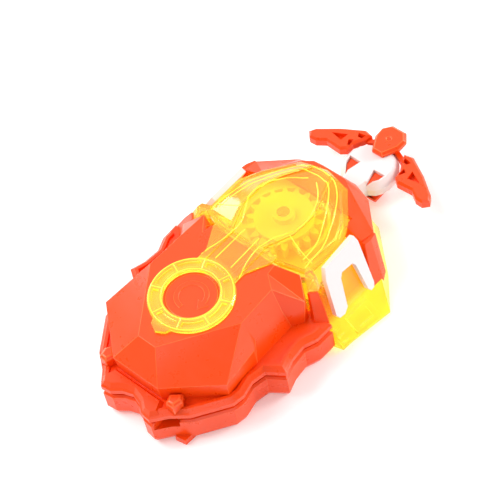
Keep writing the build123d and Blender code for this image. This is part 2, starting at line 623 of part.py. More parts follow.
# ---- Chassis, pins, bushes ---------------------------------------------------------------------------------
def chassis():
    """Plate that carries the gear pins and closes the spring cup."""
    outline = both_sides([
        (0.0, 6.0), (9.0, 6.0), (13.0, 12.0), (17.0, 18.0), (17.4, 36.0), (24.0, 40.0), (24.6, 60.0),
        (20.0, 68.0),
        (0.0, 70.0),
    ])
    body = plate(outline, CHASSIS_BOTTOM, CHASSIS_TOP)
    body -= rod(SPOOL_NECK_R + 0.4, 0, 40, 0, SPOOL_Y)
    body -= rod(PIN_R + 0.01, 0, 40, 0, IDLER_Y)
    for x, y in REAR_SCREWS[1:]:
        body -= mirrored(rod(SCREW_R + 0.02, 0, 40, x, y))
    # side wings that rest on the housing's bosses
    wing = [(20.0, 38.0), (29.0, 38.6), (29.0, 44.0), (24.0, 46.0)]
    body += mirrored(plate(wing, CHASSIS_BOTTOM, CHASSIS_TOP))
    x, y = REAR_SCREWS[0]
    body -= mirrored(rod(SCREW_R + 0.02, 0, 40, x, y))
    # raised wall round the spool gear, seen through the window
    wall = tube(SPOOL_TIP_R + 2.4, SPOOL_TIP_R + 1.0, CHASSIS_TOP - 0.1, GEAR_Z + 2.6, 0, SPOOL_Y)
    wall -= block(-15, 15, SPOOL_Y - 22, SPOOL_Y - 3, 0, 60)
    return body + wall


def spring_cup():
    cup = rod(SPRING_CUP_R, SPOOL_TOP + 0.6, CHASSIS_BOTTOM - 0.02, 0, SPOOL_Y)
    cup -= rod(SPRING_CUP_R - 1.2, SPOOL_TOP + 1.6, 40, 0, SPOOL_Y)
    cup -= rod(SPOOL_NECK_R + 0.4, 0, 40, 0, SPOOL_Y)
    return cup


def spiral_spring():
    """Flat return spring, wound between the spool's neck and the cup."""
    turns = 5.0
    thickness = 0.3
    start_r = SPOOL_NECK_R + 0.9
    end_r = SPRING_CUP_R - 1.5
    steps = int(turns * 24)

    def edge(shift):
        points = []
        for i in range(steps + 1):
            angle = 2 * pi * turns * i / steps
            r = start_r + (end_r - start_r) * i / steps + shift
            points.append((r * cos(angle), r * sin(angle) + SPOOL_Y))
        return points

    strip = edge(thickness / 2) + edge(-thickness / 2)[::-1]
    return plate(strip, SPOOL_TOP + 1.9, CHASSIS_BOTTOM - 0.4)


def spool_pin():
    return rod(SPOOL_PIN_R, WALL, SPOOL_GEAR_TOP + 2.4, 0, SPOOL_Y)


def idler_pin():
    return rod(PIN_R, UPPER_CASE_BOTTOM + 0.4, DECK_Z - WALL - 0.6, 0, IDLER_Y)


def launch_bush():
    flange = rod(BUSH_R + 1.6, WELL_CEILING_TOP + 0.02, WELL_CEILING_TOP + 1.2)
    sleeve = rod(BUSH_R, WELL_DEPTH, WELL_CEILING_TOP + 1.2)
    return flange + sleeve - rod(SHAFT_R + RUNNING_GAP, 0, 40)


def string_outlet():
    """Flanged eyelet in the rear wall."""
    length = 8.0
    sleeve = Cylinder(OUTLET_R, length, align=UP)
    mouth = Cylinder(STRING_R + 0.5, length * 3)
    flare = Cone(STRING_R + 0.5, OUTLET_R - 0.7, 1.6, align=UP)
    eyelet = sleeve - mouth - flare.rotate(Axis.X, 180).translate(Vector(0, 0, 1.6)) - Pos(
        0, 0, length - 1.6,
    ) * flare
    return Pos(0, REAR_Y - 8.2, STRING_Z) * Rot(-90, 0, 0) * eyelet


def case_screws():
    """Self-tapping screws that hold the cases and the rear housing together from below."""
    group = []
    for x, y in CASE_SCREWS:
        group.append((x, y, UPPER_CASE_TOP - 1.0))
    for x, y in REAR_SCREWS:
        group.append((x, y, CHASSIS_TOP - 0.4))
    shape = None
    for x, y, top in group:
        screw = rod(SCREW_R, 0.9, top, x, y) + rod(SCREW_HEAD_R, 0.1, 1.38, x, y)
        slot = Pos(x, y, 0) * block(-1.7, 1.7, -0.25, 0.25, -1, 0.7)
        screw -= slot + slot.rotate(Axis((x, y, 0), (0, 0, 1)), 90)
        shape = mirrored(screw) if shape is None else shape + mirrored(screw)
    return shape


# ---- Spool and gears ---------------------------------------------------------------------------------------
def string_spool():
    body = rod(SPOOL_FLANGE_R, SPOOL_BOTTOM, SPOOL_BOTTOM + SPOOL_FLANGE, 0, SPOOL_Y)
    body += rod(DRUM_R, SPOOL_BOTTOM, SPOOL_TOP, 0, SPOOL_Y)
    body += rod(SPOOL_FLANGE_R, SPOOL_TOP - SPOOL_FLANGE, SPOOL_TOP, 0, SPOOL_Y)
    body += rod(SPOOL_NECK_R, SPOOL_TOP, GEAR_Z - 0.02, 0, SPOOL_Y)
    return body - rod(SPOOL_PIN_R + RUNNING_GAP, 0, 60, 0, SPOOL_Y)


def wound_string():
    return tube(
        WOUND_R, DRUM_R + 0.02, SPOOL_BOTTOM + SPOOL_FLANGE + 0.05, SPOOL_TOP - SPOOL_FLANGE - 0.05, 0,
        SPOOL_Y,
    )


def spool_gear():
    body = gear(SPOOL_TEETH, -90, SPOOL_Y)
    body += rod(SPOOL_ROOT_R, GEAR_TOP - 0.1, SPOOL_GEAR_TOP, 0, SPOOL_Y)
    body += rod(4.4, SPOOL_GEAR_TOP - 0.1, SPOOL_GEAR_TOP + 2.6, 0, SPOOL_Y)
    return body - rod(SPOOL_PIN_R + RUNNING_GAP, 0, 60, 0, SPOOL_Y)


def idler_gear():
    half_step = 180 / IDLER_TEETH
    body = gear(IDLER_TEETH, 90 + half_step, IDLER_Y)
    body -= tube(11.6, 5.6, GEAR_TOP - 1.2, GEAR_TOP + 1, 0, IDLER_Y)
    body -= rod(PIN_R + RUNNING_GAP, 0, 60, 0, IDLER_Y)
    body += tube(3.6, PIN_R + RUNNING_GAP, CHASSIS_TOP + 0.1, GEAR_Z + 0.1, 0, IDLER_Y)
    return body


def launch_pinion():
    body = gear(PINION_TEETH, 90, 0.0)
    return body - rod(SHAFT_R + 0.01, 0, 60)


# ---- Launch shaft ------------------------------------------------------------------------------------------
def launch_shaft():
    shaft = rod(SHAFT_R, HOOK_PLATE_Z, DECK_Z - WALL - 0.8)
    groove = tube(SHAFT_R + 1, SHAFT_R - 0.6, GEAR_TOP + 0.1, GEAR_TOP + 0.62)
    return shaft - groove


def shaft_clip():
    clip = tube(SHAFT_R + 1.2, SHAFT_R - 0.58, GEAR_TOP + 0.14, GEAR_TOP + 0.58)
    return clip - block(-1.4, 1.4, -6, 0, 0, 60)


def hook_plate():
    """Disc under the launch well's ceiling, with the two hooks that hold a top."""
    disc = rod(HOOK_PLATE_R, HOOK_PLATE_Z, HOOK_PLATE_Z + 2.6)
    disc -= rod(SHAFT_R + 0.01, 0, 40)
    hook = tube(11.6, 9.0, 0.8, HOOK_PLATE_Z + 0.1)
    sector = plate([(0, 0), (14, -4.4), (14, 4.4)], 0, 20)
    hook = hook & sector
    toe = tube(13.4, 9.0, 0.8, 2.4) & plate([(0, 0), (16, -1.2), (16, 5.0)], 0, 20)
    claw = hook + toe
    return disc + claw + Rot(0, 0, 180) * claw


def lock_pin():
    """Plunger that a top pushes up when it is latched on the hooks."""
    body = rod(LOCK_PIN_R, 4.0, WELL_CEILING_TOP + 3.0, 0, LOCK_PIN_Y)
    return body + rod(3.2, WELL_CEILING_TOP + 0.1, WELL_CEILING_TOP + 1.1, 0, LOCK_PIN_Y)


def lock_pin_spring():
    """Compression spring, as the sleeve that its coils fill."""
    return tube(3.1, 2.2, WELL_CEILING_TOP + 1.15, 18.7, 0, LOCK_PIN_Y)


# ---- Pull handle -------------------------------------------------------------------------------------------
HUB = [
    (0.0, REAR_Y + 2.6), (5.4, REAR_Y + 3.2), (6.2, HANDLE_Y - 10.6), (8.9, HANDLE_Y - 9.0),
    (10.6, HANDLE_Y - 6.6), (11.5, HANDLE_Y - 3.2), (11.5, HANDLE_Y + 0.4), (10.4, HANDLE_Y + 4.2),
    (8.0, HANDLE_Y + 7.2), (4.4, HANDLE_Y + 9.1), (0.0, HANDLE_Y + 9.7),
]
HUB_EYE = [(3.4, HANDLE_Y - 2.6), (8.8, HANDLE_Y - 2.4), (8.2, HANDLE_Y - 5.6), (5.2, HANDLE_Y - 10.0)]
GRIP = [
    (8.2, HANDLE_Y + 10.6), (12.1, HANDLE_Y + 11.4), (21.2, HANDLE_Y + 6.4), (29.3, HANDLE_Y + 0.6),
    (GRIP_HALF_SPAN, HANDLE_Y - 2.0), (28.6, HANDLE_Y - 4.4), (25.4, HANDLE_Y - 4.2), (21.7, HANDLE_Y - 1.8),
    (14.6, HANDLE_Y - 2.2), (12.2, HANDLE_Y - 0.4), (12.0, HANDLE_Y + 3.0), (9.4, HANDLE_Y + 7.4),
]


def handle_hub():
    """White faceted hub, with the tongue that docks at the string outlet."""
    bottom = both_sides(at_height(HUB, HANDLE_Z - 5.0))
    body = stack(inset(bottom, 1.2), raised(bottom, HANDLE_Z - 3.6), raised(bottom, HANDLE_Z - 0.4),
                 raised(inset(bottom, 2.2), HANDLE_Z + 2.6))
    body -= mirrored(plate(HUB_EYE, 0, 40))
    body -= block(-1.9, 1.9, HANDLE_Y - 2.0, HANDLE_Y + 3.0, HANDLE_Z - 1.9, HANDLE_Z + 1.9)
    body -= Pos(0, HANDLE_Y - 25, HANDLE_Z) * Rot(-90, 0, 0) * Cylinder(STRING_R + 0.12, 24, align=UP)
    return body


def eye_plate():
    """Red plate under the hub, with a post that stands in each of the hub's two eyes."""
    plate_top = HANDLE_Z - 5.02
    body = block(-9.4, 9.4, HANDLE_Y - 10.2, HANDLE_Y - 2.0, HANDLE_Z - 6.4, plate_top)
    post = [p[:2] for p in inset(at_height(HUB_EYE, 0.0), 0.15)]
    return body + mirrored(plate(post, plate_top - 0.1, HANDLE_Z + 1.3))


def grip_wings():
    """The two grip wings and the bar behind the hub that joins them."""
    low = plate(GRIP, HANDLE_Z - 1.4, HANDLE_Z + 2.6)
    low = chamfer_top(low, 0.9)
    low -= plate([(16.4, HANDLE_Y + 5.4), (22.4, HANDLE_Y + 2.4), (16.8, HANDLE_Y + 1.4)], HANDLE_Z + 0.2, 40)
    low -= plate(
        [(9.8, HANDLE_Y + 9.0), (13.4, HANDLE_Y + 8.4), (12.4, HANDLE_Y + 6.6), (10.6, HANDLE_Y + 6.8)],
        HANDLE_Z + 0.2, 40,
    )
    low -= plate(
        [(12.8, HANDLE_Y + 4.6), (14.6, HANDLE_Y + 3.4), (13.4, HANDLE_Y + 1.0), (12.6, HANDLE_Y + 1.4)],
        HANDLE_Z + 0.2, 40,
    )
    bar = [
        (0.0, HANDLE_Y + 9.8), (4.2, HANDLE_Y + 9.5), (8.6, HANDLE_Y + 7.6), (9.4, HANDLE_Y + 9.4),
        (4.6, HANDLE_Y + 11.6), (0.0, HANDLE_Y + 11.8),
    ]
    return mirrored(low) + plate(both_sides(bar), HANDLE_Z - 2.0, HANDLE_Z + 0.6)


def grip_cap():
    """Hexagonal cap over the hub's outer end."""
    foot = [
        (0.0, HANDLE_Y + 3.6), (2.6, HANDLE_Y + 3.6), (6.0, HANDLE_Y + 10.0), (6.2, HANDLE_Y + 14.6),
        (3.4, HANDLE_Y + 18.2), (0.0, HANDLE_Y + 18.2),
    ]
    top = [
        (0.0, HANDLE_Y + 4.2), (2.0, HANDLE_Y + 4.2), (5.0, HANDLE_Y + 10.2), (5.2, HANDLE_Y + 14.0),
        (2.8, HANDLE_Y + 16.8), (0.0, HANDLE_Y + 16.8),
    ]
    cap = stack(
        both_sides(at_height(foot, HANDLE_Z + 2.64)), both_sides(at_height(foot, HANDLE_Z + 4.0)),
        both_sides(at_height(top, HANDLE_Z + 5.4)),
    )
    stem_y = HANDLE_Y + 12.0
    stem = block(-3.6, 3.6, stem_y, stem_y + 4.4, HANDLE_Z - 2.0, HANDLE_Z + 2.7)
    return cap + stem - rod(1.1, HANDLE_Z + 4.9, 40, 0, HANDLE_Y + 11.4)


def pull_string():
    """The string from the spool through the outlet to the knot in the hub."""
    wrap_r = WOUND_R + STRING_R + 0.2
    reach = REAR_Y - 7.0 - SPOOL_Y
    tangent = Vector(-wrap_r * sqrt(reach**2 - wrap_r**2) / reach, SPOOL_Y + wrap_r**2 / reach, STRING_Z)
    eye = Vector(0, REAR_Y - 7.0, STRING_Z)
    knot = Vector(0, HANDLE_Y, STRING_Z)
    string = cord_run(tangent, eye) + Pos(*eye) * Sphere(STRING_R) + cord_run(eye, knot)
    return string + Pos(*knot) * Sphere(1.7)


def cord_run(start, end):
    path = end - start
    return Plane(origin=start, z_dir=path) * Cylinder(STRING_R, path.length, align=UP)


# ---- Write the pieces --------------------------------------------------------------------------------------
def main():
    white = side_bracket()
    keep("lower_flange_case", lower_case())
    keep("upper_flange_case", upper_case())
    keep("front_hood", hood())
    keep("shoulder_clips", hood_lugs())
    keep("emblem_cap", emblem())
    keep("ring_window_cover", window_cover())
    keep("rear_housing", rear_housing())
    keep("rear_rim", rear_rim())
    keep("right_bracket", white)
    keep("left_bracket", mirror(white, Plane.YZ))
    keep("gear_chassis", chassis())
    keep("spring_cup", spring_cup())
    keep("spiral_spring", spiral_spring())
    keep("spool_pin", spool_pin())
    keep("idler_pin", idler_pin())
    keep("launch_bush", launch_bush())
    keep("string_outlet", string_outlet())
    keep("case_screws", case_screws())
    keep("string_spool", string_spool())
    keep("wound_string", wound_string())
    keep("spool_gear", spool_gear())
    keep("idler_gear", idler_gear())
    keep("launch_pinion", launch_pinion())
    keep("launch_shaft", launch_shaft())
    keep("shaft_clip", shaft_clip())
    keep("hook_plate", hook_plate())
    keep("lock_pin", lock_pin())
    keep("lock_pin_spring", lock_pin_spring())
    keep("handle_hub", handle_hub())
    keep("eye_plate", eye_plate())
    keep("grip_wings", grip_wings())
    keep("grip_cap", grip_cap())
    keep("pull_string", pull_string())
    os.makedirs("parts", exist_ok=True)
    for name, shape in pieces.items():
        export_step(shape, f"parts/{name}.step")


if __name__ == "__main__":
    main()
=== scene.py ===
"""Looks of the string launcher: rounded mouldings, clear amber and yellow plastic, screws, springs and string.

The file is laid out as an add-on and is run as a script. Each operator makes one piece or one group of like pieces.
All positions come from the frame, in metres.
"""

import json
import math

import bmesh
import bpy
from bpy.props import FloatProperty, FloatVectorProperty, IntProperty, PointerProperty
from mathutils import Matrix, Vector
from mathutils.bvhtree import BVHTree


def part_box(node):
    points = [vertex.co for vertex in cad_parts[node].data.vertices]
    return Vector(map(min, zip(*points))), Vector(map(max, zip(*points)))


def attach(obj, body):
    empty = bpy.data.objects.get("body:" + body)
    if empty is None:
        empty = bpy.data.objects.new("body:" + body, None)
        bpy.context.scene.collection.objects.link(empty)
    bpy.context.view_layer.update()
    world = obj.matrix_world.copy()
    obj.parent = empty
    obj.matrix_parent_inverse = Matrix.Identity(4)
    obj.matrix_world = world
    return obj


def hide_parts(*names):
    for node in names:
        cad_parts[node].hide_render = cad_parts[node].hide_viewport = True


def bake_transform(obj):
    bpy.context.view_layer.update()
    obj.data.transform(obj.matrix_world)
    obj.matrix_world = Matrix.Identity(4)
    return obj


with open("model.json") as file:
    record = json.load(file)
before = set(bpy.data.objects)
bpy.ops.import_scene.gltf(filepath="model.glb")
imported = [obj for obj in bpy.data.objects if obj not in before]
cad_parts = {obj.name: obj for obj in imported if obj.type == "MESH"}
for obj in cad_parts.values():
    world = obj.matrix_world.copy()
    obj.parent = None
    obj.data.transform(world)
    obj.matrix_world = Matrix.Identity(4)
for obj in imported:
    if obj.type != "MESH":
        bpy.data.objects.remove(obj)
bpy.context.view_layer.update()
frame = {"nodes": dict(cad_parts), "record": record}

bl_info = {
    "name": "String Launcher Looks",
    "version": (1, 0, 0),
    "blender": (4, 5, 0),
    "location": "3D View > Sidebar > Launcher",
    "description": "Builds the visible pieces of a spinning-top launcher round its CAD frame",
    "category": "Object",
}

MM = 0.001
SHARP_ANGLE = math.radians(24)  # edges sharper than this are rounded
FLAT_ANGLE = math.radians(0.6)  # triangles flatter than this against each other are one face
SMOOTH_ANGLE = math.radians(38)  # faces that meet more gently than this are shaded as one
MERGE_DISTANCE = 2e-6  # corners of loose triangles closer than this are one corner
BUMP_DISTANCE = 0.2 * MM
STREAK_SCALE = 60.0  # how fine the streaks are in the painted glow of the clear plastic
RING_EDGE = (16.0 * MM, 18.0 * MM)  # the thick ring ends between these distances from its middle
SKIRT_TOP = (9.0 * MM, 12.0 * MM)  # the skirt's upper wall begins between these heights
RAY_START = 0.1  # height from which lines are laid over a piece
LINE_STEP = 2.5 * MM  # a line breaks where the surface below it jumps by more than this


# ---- Sizes and colours that a user may change ----------------------------------------------------------------
class LauncherColours(bpy.types.PropertyGroup):
    """Colours of the launcher's plastics."""

    shell: FloatVectorProperty(
        name="Shell", description="Red-orange ABS of the cases, hood, rim and grips", subtype="COLOR",
        size=3, min=0, max=1, default=(0.93, 0.064, 0.001),
    )
    # Painted highlight: the paler tone on the shell's rounded edges.
    shell_edge: FloatVectorProperty(
        name="Shell edge", description="Paler tone where the shell's edges are worn smooth", subtype="COLOR",
        size=3, min=0, max=1, default=(1.0, 0.17, 0.04),
    )
    amber: FloatVectorProperty(
        name="Amber", description="Clear amber of the ring and the spool window", subtype="COLOR",
        size=3, min=0, max=1, default=(1.0, 0.66, 0.14),
    )
    # Painted highlight: the amber's rounded edges and ribs take this brighter tone.
    amber_edge: FloatVectorProperty(
        name="Amber edge", description="Bright tone that the amber's edges carry", subtype="COLOR",
        size=3, min=0, max=1, default=(1.0, 0.74, 0.06),
    )
    skirt: FloatVectorProperty(
        name="Skirt", description="Clear yellow of the rear housing", subtype="COLOR",
        size=3, min=0, max=1, default=(1.0, 0.80, 0.06),
    )
    # The white's pink tint is painted light bounced off the orange parts.
    white: FloatVectorProperty(
        name="White", description="White ABS of the brackets and the handle's hub", subtype="COLOR",
        size=3, min=0, max=1, default=(0.80, 0.745, 0.74),
    )
    gear: FloatVectorProperty(
        name="Gears", description="Yellow acetal of the spool gear and its chassis", subtype="COLOR",
        size=3, min=0, max=1, default=(1.0, 0.74, 0.20),
    )


class LauncherSizes(bpy.types.PropertyGroup):
    """Sizes of the finishing detail."""

    shell_round: FloatProperty(
        name="Shell rounding", description="Width of the rounding on the shell's edges", unit="LENGTH",
        min=0, max=0.002, default=0.00042,
    )
    small_round: FloatProperty(
        name="Small rounding", description="Width of the rounding on small and clear pieces", unit="LENGTH",
        min=0, max=0.001, default=0.00022,
    )
    rib_radius: FloatProperty(
        name="Rib radius", description="Half the width of the ribs on the amber window", unit="LENGTH",
        min=0.0001, max=0.001, default=0.00024,
    )
    spring_turns: IntProperty(
        name="Spring turns", description="Turns of the lock pin's spring", min=2, max=20, default=6,
    )
    string_turns: IntProperty(
        name="String turns", description="Turns in the outer layer of the wound string", min=2, max=12, default=6,
    )
    strands: IntProperty(name="Strands", description="Strands in the pull string", min=2, max=8, default=4)


class LauncherStage(bpy.types.PropertyGroup):
    """Floor, lights and camera."""

    azimuth: FloatProperty(
        name="Azimuth", description="Camera direction round the launcher", subtype="ANGLE",
        default=math.radians(51.37),
    )
    elevation: FloatProperty(
        name="Elevation", description="Camera height above the horizon", subtype="ANGLE",
        default=math.radians(53.11),
    )
    roll: FloatProperty(
        name="Roll", description="Turn of the camera about its line of sight", subtype="ANGLE",
        default=math.radians(12.65),
    )
    distance: FloatProperty(
        name="Distance", description="Camera distance from the point it looks at", unit="LENGTH", default=0.7608,
    )
    lens: FloatProperty(name="Lens", description="Focal length in millimetres", default=144.0)
    target: FloatVectorProperty(
        name="Target", description="Point that the camera looks at", subtype="TRANSLATION", size=3,
        default=(-0.0059, 0.0361, 0.0200),
    )


# ---- Shader groups -------------------------------------------------------------------------------------------
def new_group(name, inputs, outputs):
    """A shader node group with named sockets. Inputs are (name, type, default)."""
    group = bpy.data.node_groups.new(name, "ShaderNodeTree")
    for label, kind, default in inputs:
        group.interface.new_socket(label, in_out="INPUT", socket_type=kind).default_value = default
    for label, kind in outputs:
        group.interface.new_socket(label, in_out="OUTPUT", socket_type=kind)
    return group, group.nodes.new("NodeGroupInput"), group.nodes.new("NodeGroupOutput")


def noise(tree, coordinates, scale, detail, roughness=0.5):
    node = tree.nodes.new("ShaderNodeTexNoise")
    node.inputs["Detail"].default_value = detail
    node.inputs["Roughness"].default_value = roughness
    if isinstance(scale, (int, float)):
        node.inputs["Scale"].default_value = scale
    else:
        tree.links.new(scale, node.inputs["Scale"])
    tree.links.new(coordinates, node.inputs["Vector"])
    return node.outputs["Fac"]


def ranged(tree, value, low, high, to_low, to_high):
    """The value, carried from one range to another and clamped."""
    node = tree.nodes.new("ShaderNodeMapRange")
    for socket, number in zip(("From Min", "From Max"), (low, high)):
        node.inputs[socket].default_value = number
    for socket, number in zip(("To Min", "To Max"), (to_low, to_high)):
        if isinstance(number, (int, float)):
            node.inputs[socket].default_value = number
        else:
            tree.links.new(number, node.inputs[socket])
    tree.links.new(value, node.inputs["Value"])
    return node.outputs["Result"]


def object_coordinates(tree):
    return tree.nodes.new("ShaderNodeTexCoord").outputs["Object"]


def moulded_skin_group():
    """Fine moulding texture: height for a bump, and roughness that drifts with handling marks."""
    group, source, sink = new_group(
        "Moulded Skin",
        [
            ("Grain Scale", "NodeSocketFloat", 2600.0),
            ("Roughness Low", "NodeSocketFloat", 0.25),
            ("Roughness High", "NodeSocketFloat", 0.42),
        ],
        [("Height", "NodeSocketFloat"), ("Roughness", "NodeSocketFloat")],
    )
    place = object_coordinates(group)
    grain = noise(group, place, source.outputs["Grain Scale"], 2.0)
    ripple = noise(group, place, 55.0, 2.0)
    height = group.nodes.new("ShaderNodeMath")
    height.operation = "MULTIPLY_ADD"
    height.inputs[1].default_value = 3.0
    group.links.new(ripple, height.inputs[0])
    group.links.new(grain, height.inputs[2])
    group.links.new(height.outputs[0], sink.inputs["Height"])
    marks = noise(group, place, 160.0, 6.0, 0.65)
    rough = ranged(
        group, marks, 0.35, 0.68, source.outputs["Roughness Low"], source.outputs["Roughness High"]
    )
    group.links.new(rough, sink.inputs["Roughness"])
    return group


def tone_drift_group():
    """Colour that drifts a little over the moulding."""
    group, source, sink = new_group(
        "Tone Drift",
        [
            ("Colour", "NodeSocketColor", (0.8, 0.1, 0.02, 1)),
            ("Second Colour", "NodeSocketColor", (0.9, 0.2, 0.05, 1)),
            ("Scale", "NodeSocketFloat", 28.0),
        ],
        [("Colour", "NodeSocketColor")],
    )
    place = object_coordinates(group)
    cloud = noise(group, place, source.outputs["Scale"], 4.0, 0.55)
    share = ranged(group, cloud, 0.38, 0.72, 0.0, 1.0)
    blend = group.nodes.new("ShaderNodeMix")
    blend.data_type = "RGBA"
    group.links.new(share, blend.inputs["Factor"])
    group.links.new(source.outputs["Colour"], blend.inputs["A"])
    group.links.new(source.outputs["Second Colour"], blend.inputs["B"])
    group.links.new(blend.outputs["Result"], sink.inputs["Colour"])
    return group


def painted_glow_group():
    """Painted glow for clear dyed plastic: a warm emission colour, stronger in streaks."""
    group, source, sink = new_group(
        "Painted Glow",
        [
            ("Colour", "NodeSocketColor", (1, 0.5, 0.02, 1)),
            ("Scale", "NodeSocketFloat", 60.0),
            ("Low", "NodeSocketFloat", 0.1),
            ("High", "NodeSocketFloat", 0.3),
        ],
        [("Emission", "NodeSocketColor")],
    )
    place = object_coordinates(group)
    streaks = noise(group, place, source.outputs["Scale"], 2.0, 0.4)
    share = ranged(group, streaks, 0.35, 0.7, source.outputs["Low"], source.outputs["High"])
    scale = group.nodes.new("ShaderNodeVectorMath")
    scale.operation = "SCALE"
    group.links.new(source.outputs["Colour"], scale.inputs[0])
    group.links.new(share, scale.inputs["Scale"])
    group.links.new(scale.outputs["Vector"], sink.inputs["Emission"])
    return group


# ---- Materials -----------------------------------------------------------------------------------------------
groups = {}
materials = {}


def place_group(tree, name, **values):
    """The named group in a material's tree, with its inputs set. An underscore in a key is a space."""
    node = tree.nodes.new("ShaderNodeGroup")
    node.node_tree = groups[name]
    for key, value in values.items():
        node.inputs[key.replace("_", " ")].default_value = value
    return node


def rgba(colour):
    return (*colour, 1.0)


def toned(colour, factor):
    return tuple(min(1.0, channel * factor) for channel in colour)


def moulded(name, colour, second=None, rough=(0.25, 0.42), grain=2600.0, bump=0.05, drift=28.0, **sockets):
    """A moulded plastic or a metal: drifting tone, fine grain and roughness from handling."""
    material = bpy.data.materials.new(name)
    material.use_nodes = True
    tree = material.node_tree
    shader = tree.nodes["Principled BSDF"]
    tone = place_group(
        tree, "Tone Drift", Colour=rgba(colour), Second_Colour=rgba(second or toned(colour, 0.9)), Scale=drift
    )
    tree.links.new(tone.outputs["Colour"], shader.inputs["Base Color"])
    skin = place_group(
        tree, "Moulded Skin", Grain_Scale=grain, Roughness_Low=rough[0], Roughness_High=rough[1]
    )
    tree.links.new(skin.outputs["Roughness"], shader.inputs["Roughness"])
    height = tree.nodes.new("ShaderNodeBump")
    height.inputs["Strength"].default_value = bump
    height.inputs["Distance"].default_value = BUMP_DISTANCE
    tree.links.new(skin.outputs["Height"], height.inputs["Height"])
    tree.links.new(height.outputs["Normal"], shader.inputs["Normal"])
    for socket, value in sockets.items():
        shader.inputs[socket.replace("_", " ")].default_value = value
    materials[name] = material
    return material


def clear_plastic(name, colour, second, glow, shade, transmission=0.85, upper=None, ring=None):
    """Clear dyed plastic. Lamps shine through it with the tint named shade, and it carries a little painted glow.
    With upper, the wall takes that colour above the skirt. With ring, the thick ring carries that much painted glow."""
    material = moulded(
        name, colour, second, rough=(0.04, 0.12), grain=900.0, bump=0.03, drift=40.0,
        Transmission_Weight=transmission, IOR=1.46, Emission_Strength=1.0,
    )
    tree = material.node_tree
    shader = tree.nodes["Principled BSDF"]
    # The emission is a painted glow, stronger in streaks: the plastic gives off light though it is no lamp.
    light = place_group(
        tree, "Painted Glow", Colour=rgba(second), Scale=STREAK_SCALE, Low=glow[0], High=glow[1]
    )
    tree.links.new(light.outputs["Emission"], shader.inputs["Emission Color"])
    if ring:
        flat = tree.nodes.new("ShaderNodeVectorMath")
        flat.operation = "MULTIPLY"
        flat.inputs[1].default_value = (1, 1, 0)
        tree.links.new(object_coordinates(tree), flat.inputs[0])
        reach = tree.nodes.new("ShaderNodeVectorMath")
        reach.operation = "LENGTH"
        tree.links.new(flat.outputs[0], reach.inputs[0])
        for socket, plain, gathered in (("Low", glow[0], ring[0]), ("High", glow[1], ring[1])):
            amount = ranged(tree, reach.outputs["Value"], *RING_EDGE, gathered, plain)
            tree.links.new(amount, light.inputs[socket])
    if upper:
        parts = tree.nodes.new("ShaderNodeSeparateXYZ")
        tree.links.new(object_coordinates(tree), parts.inputs[0])
        share = ranged(tree, parts.outputs["Z"], *SKIRT_TOP, 0.0, 1.0)
        for socket in ("Base Color", "Emission Color"):
            tint = tree.nodes.new("ShaderNodeMix")
            tint.data_type = "RGBA"
            tree.links.new(share, tint.inputs["Factor"])
            tree.links.new(shader.inputs[socket].links[0].from_socket, tint.inputs["A"])
            tint.inputs["B"].default_value = rgba(toned(upper, 1.0 if socket == "Base Color" else glow[0]))
            tree.links.new(tint.outputs["Result"], shader.inputs[socket])
    clear = tree.nodes.new("ShaderNodeBsdfTransparent")
    clear.inputs["Color"].default_value = rgba(shade)
    path = tree.nodes.new("ShaderNodeLightPath")
    mix = tree.nodes.new("ShaderNodeMixShader")
    tree.links.new(path.outputs["Is Shadow Ray"], mix.inputs["Fac"])
    tree.links.new(shader.outputs[0], mix.inputs[1])
    tree.links.new(clear.outputs[0], mix.inputs[2])
    tree.links.new(mix.outputs[0], tree.nodes["Material Output"].inputs["Surface"])


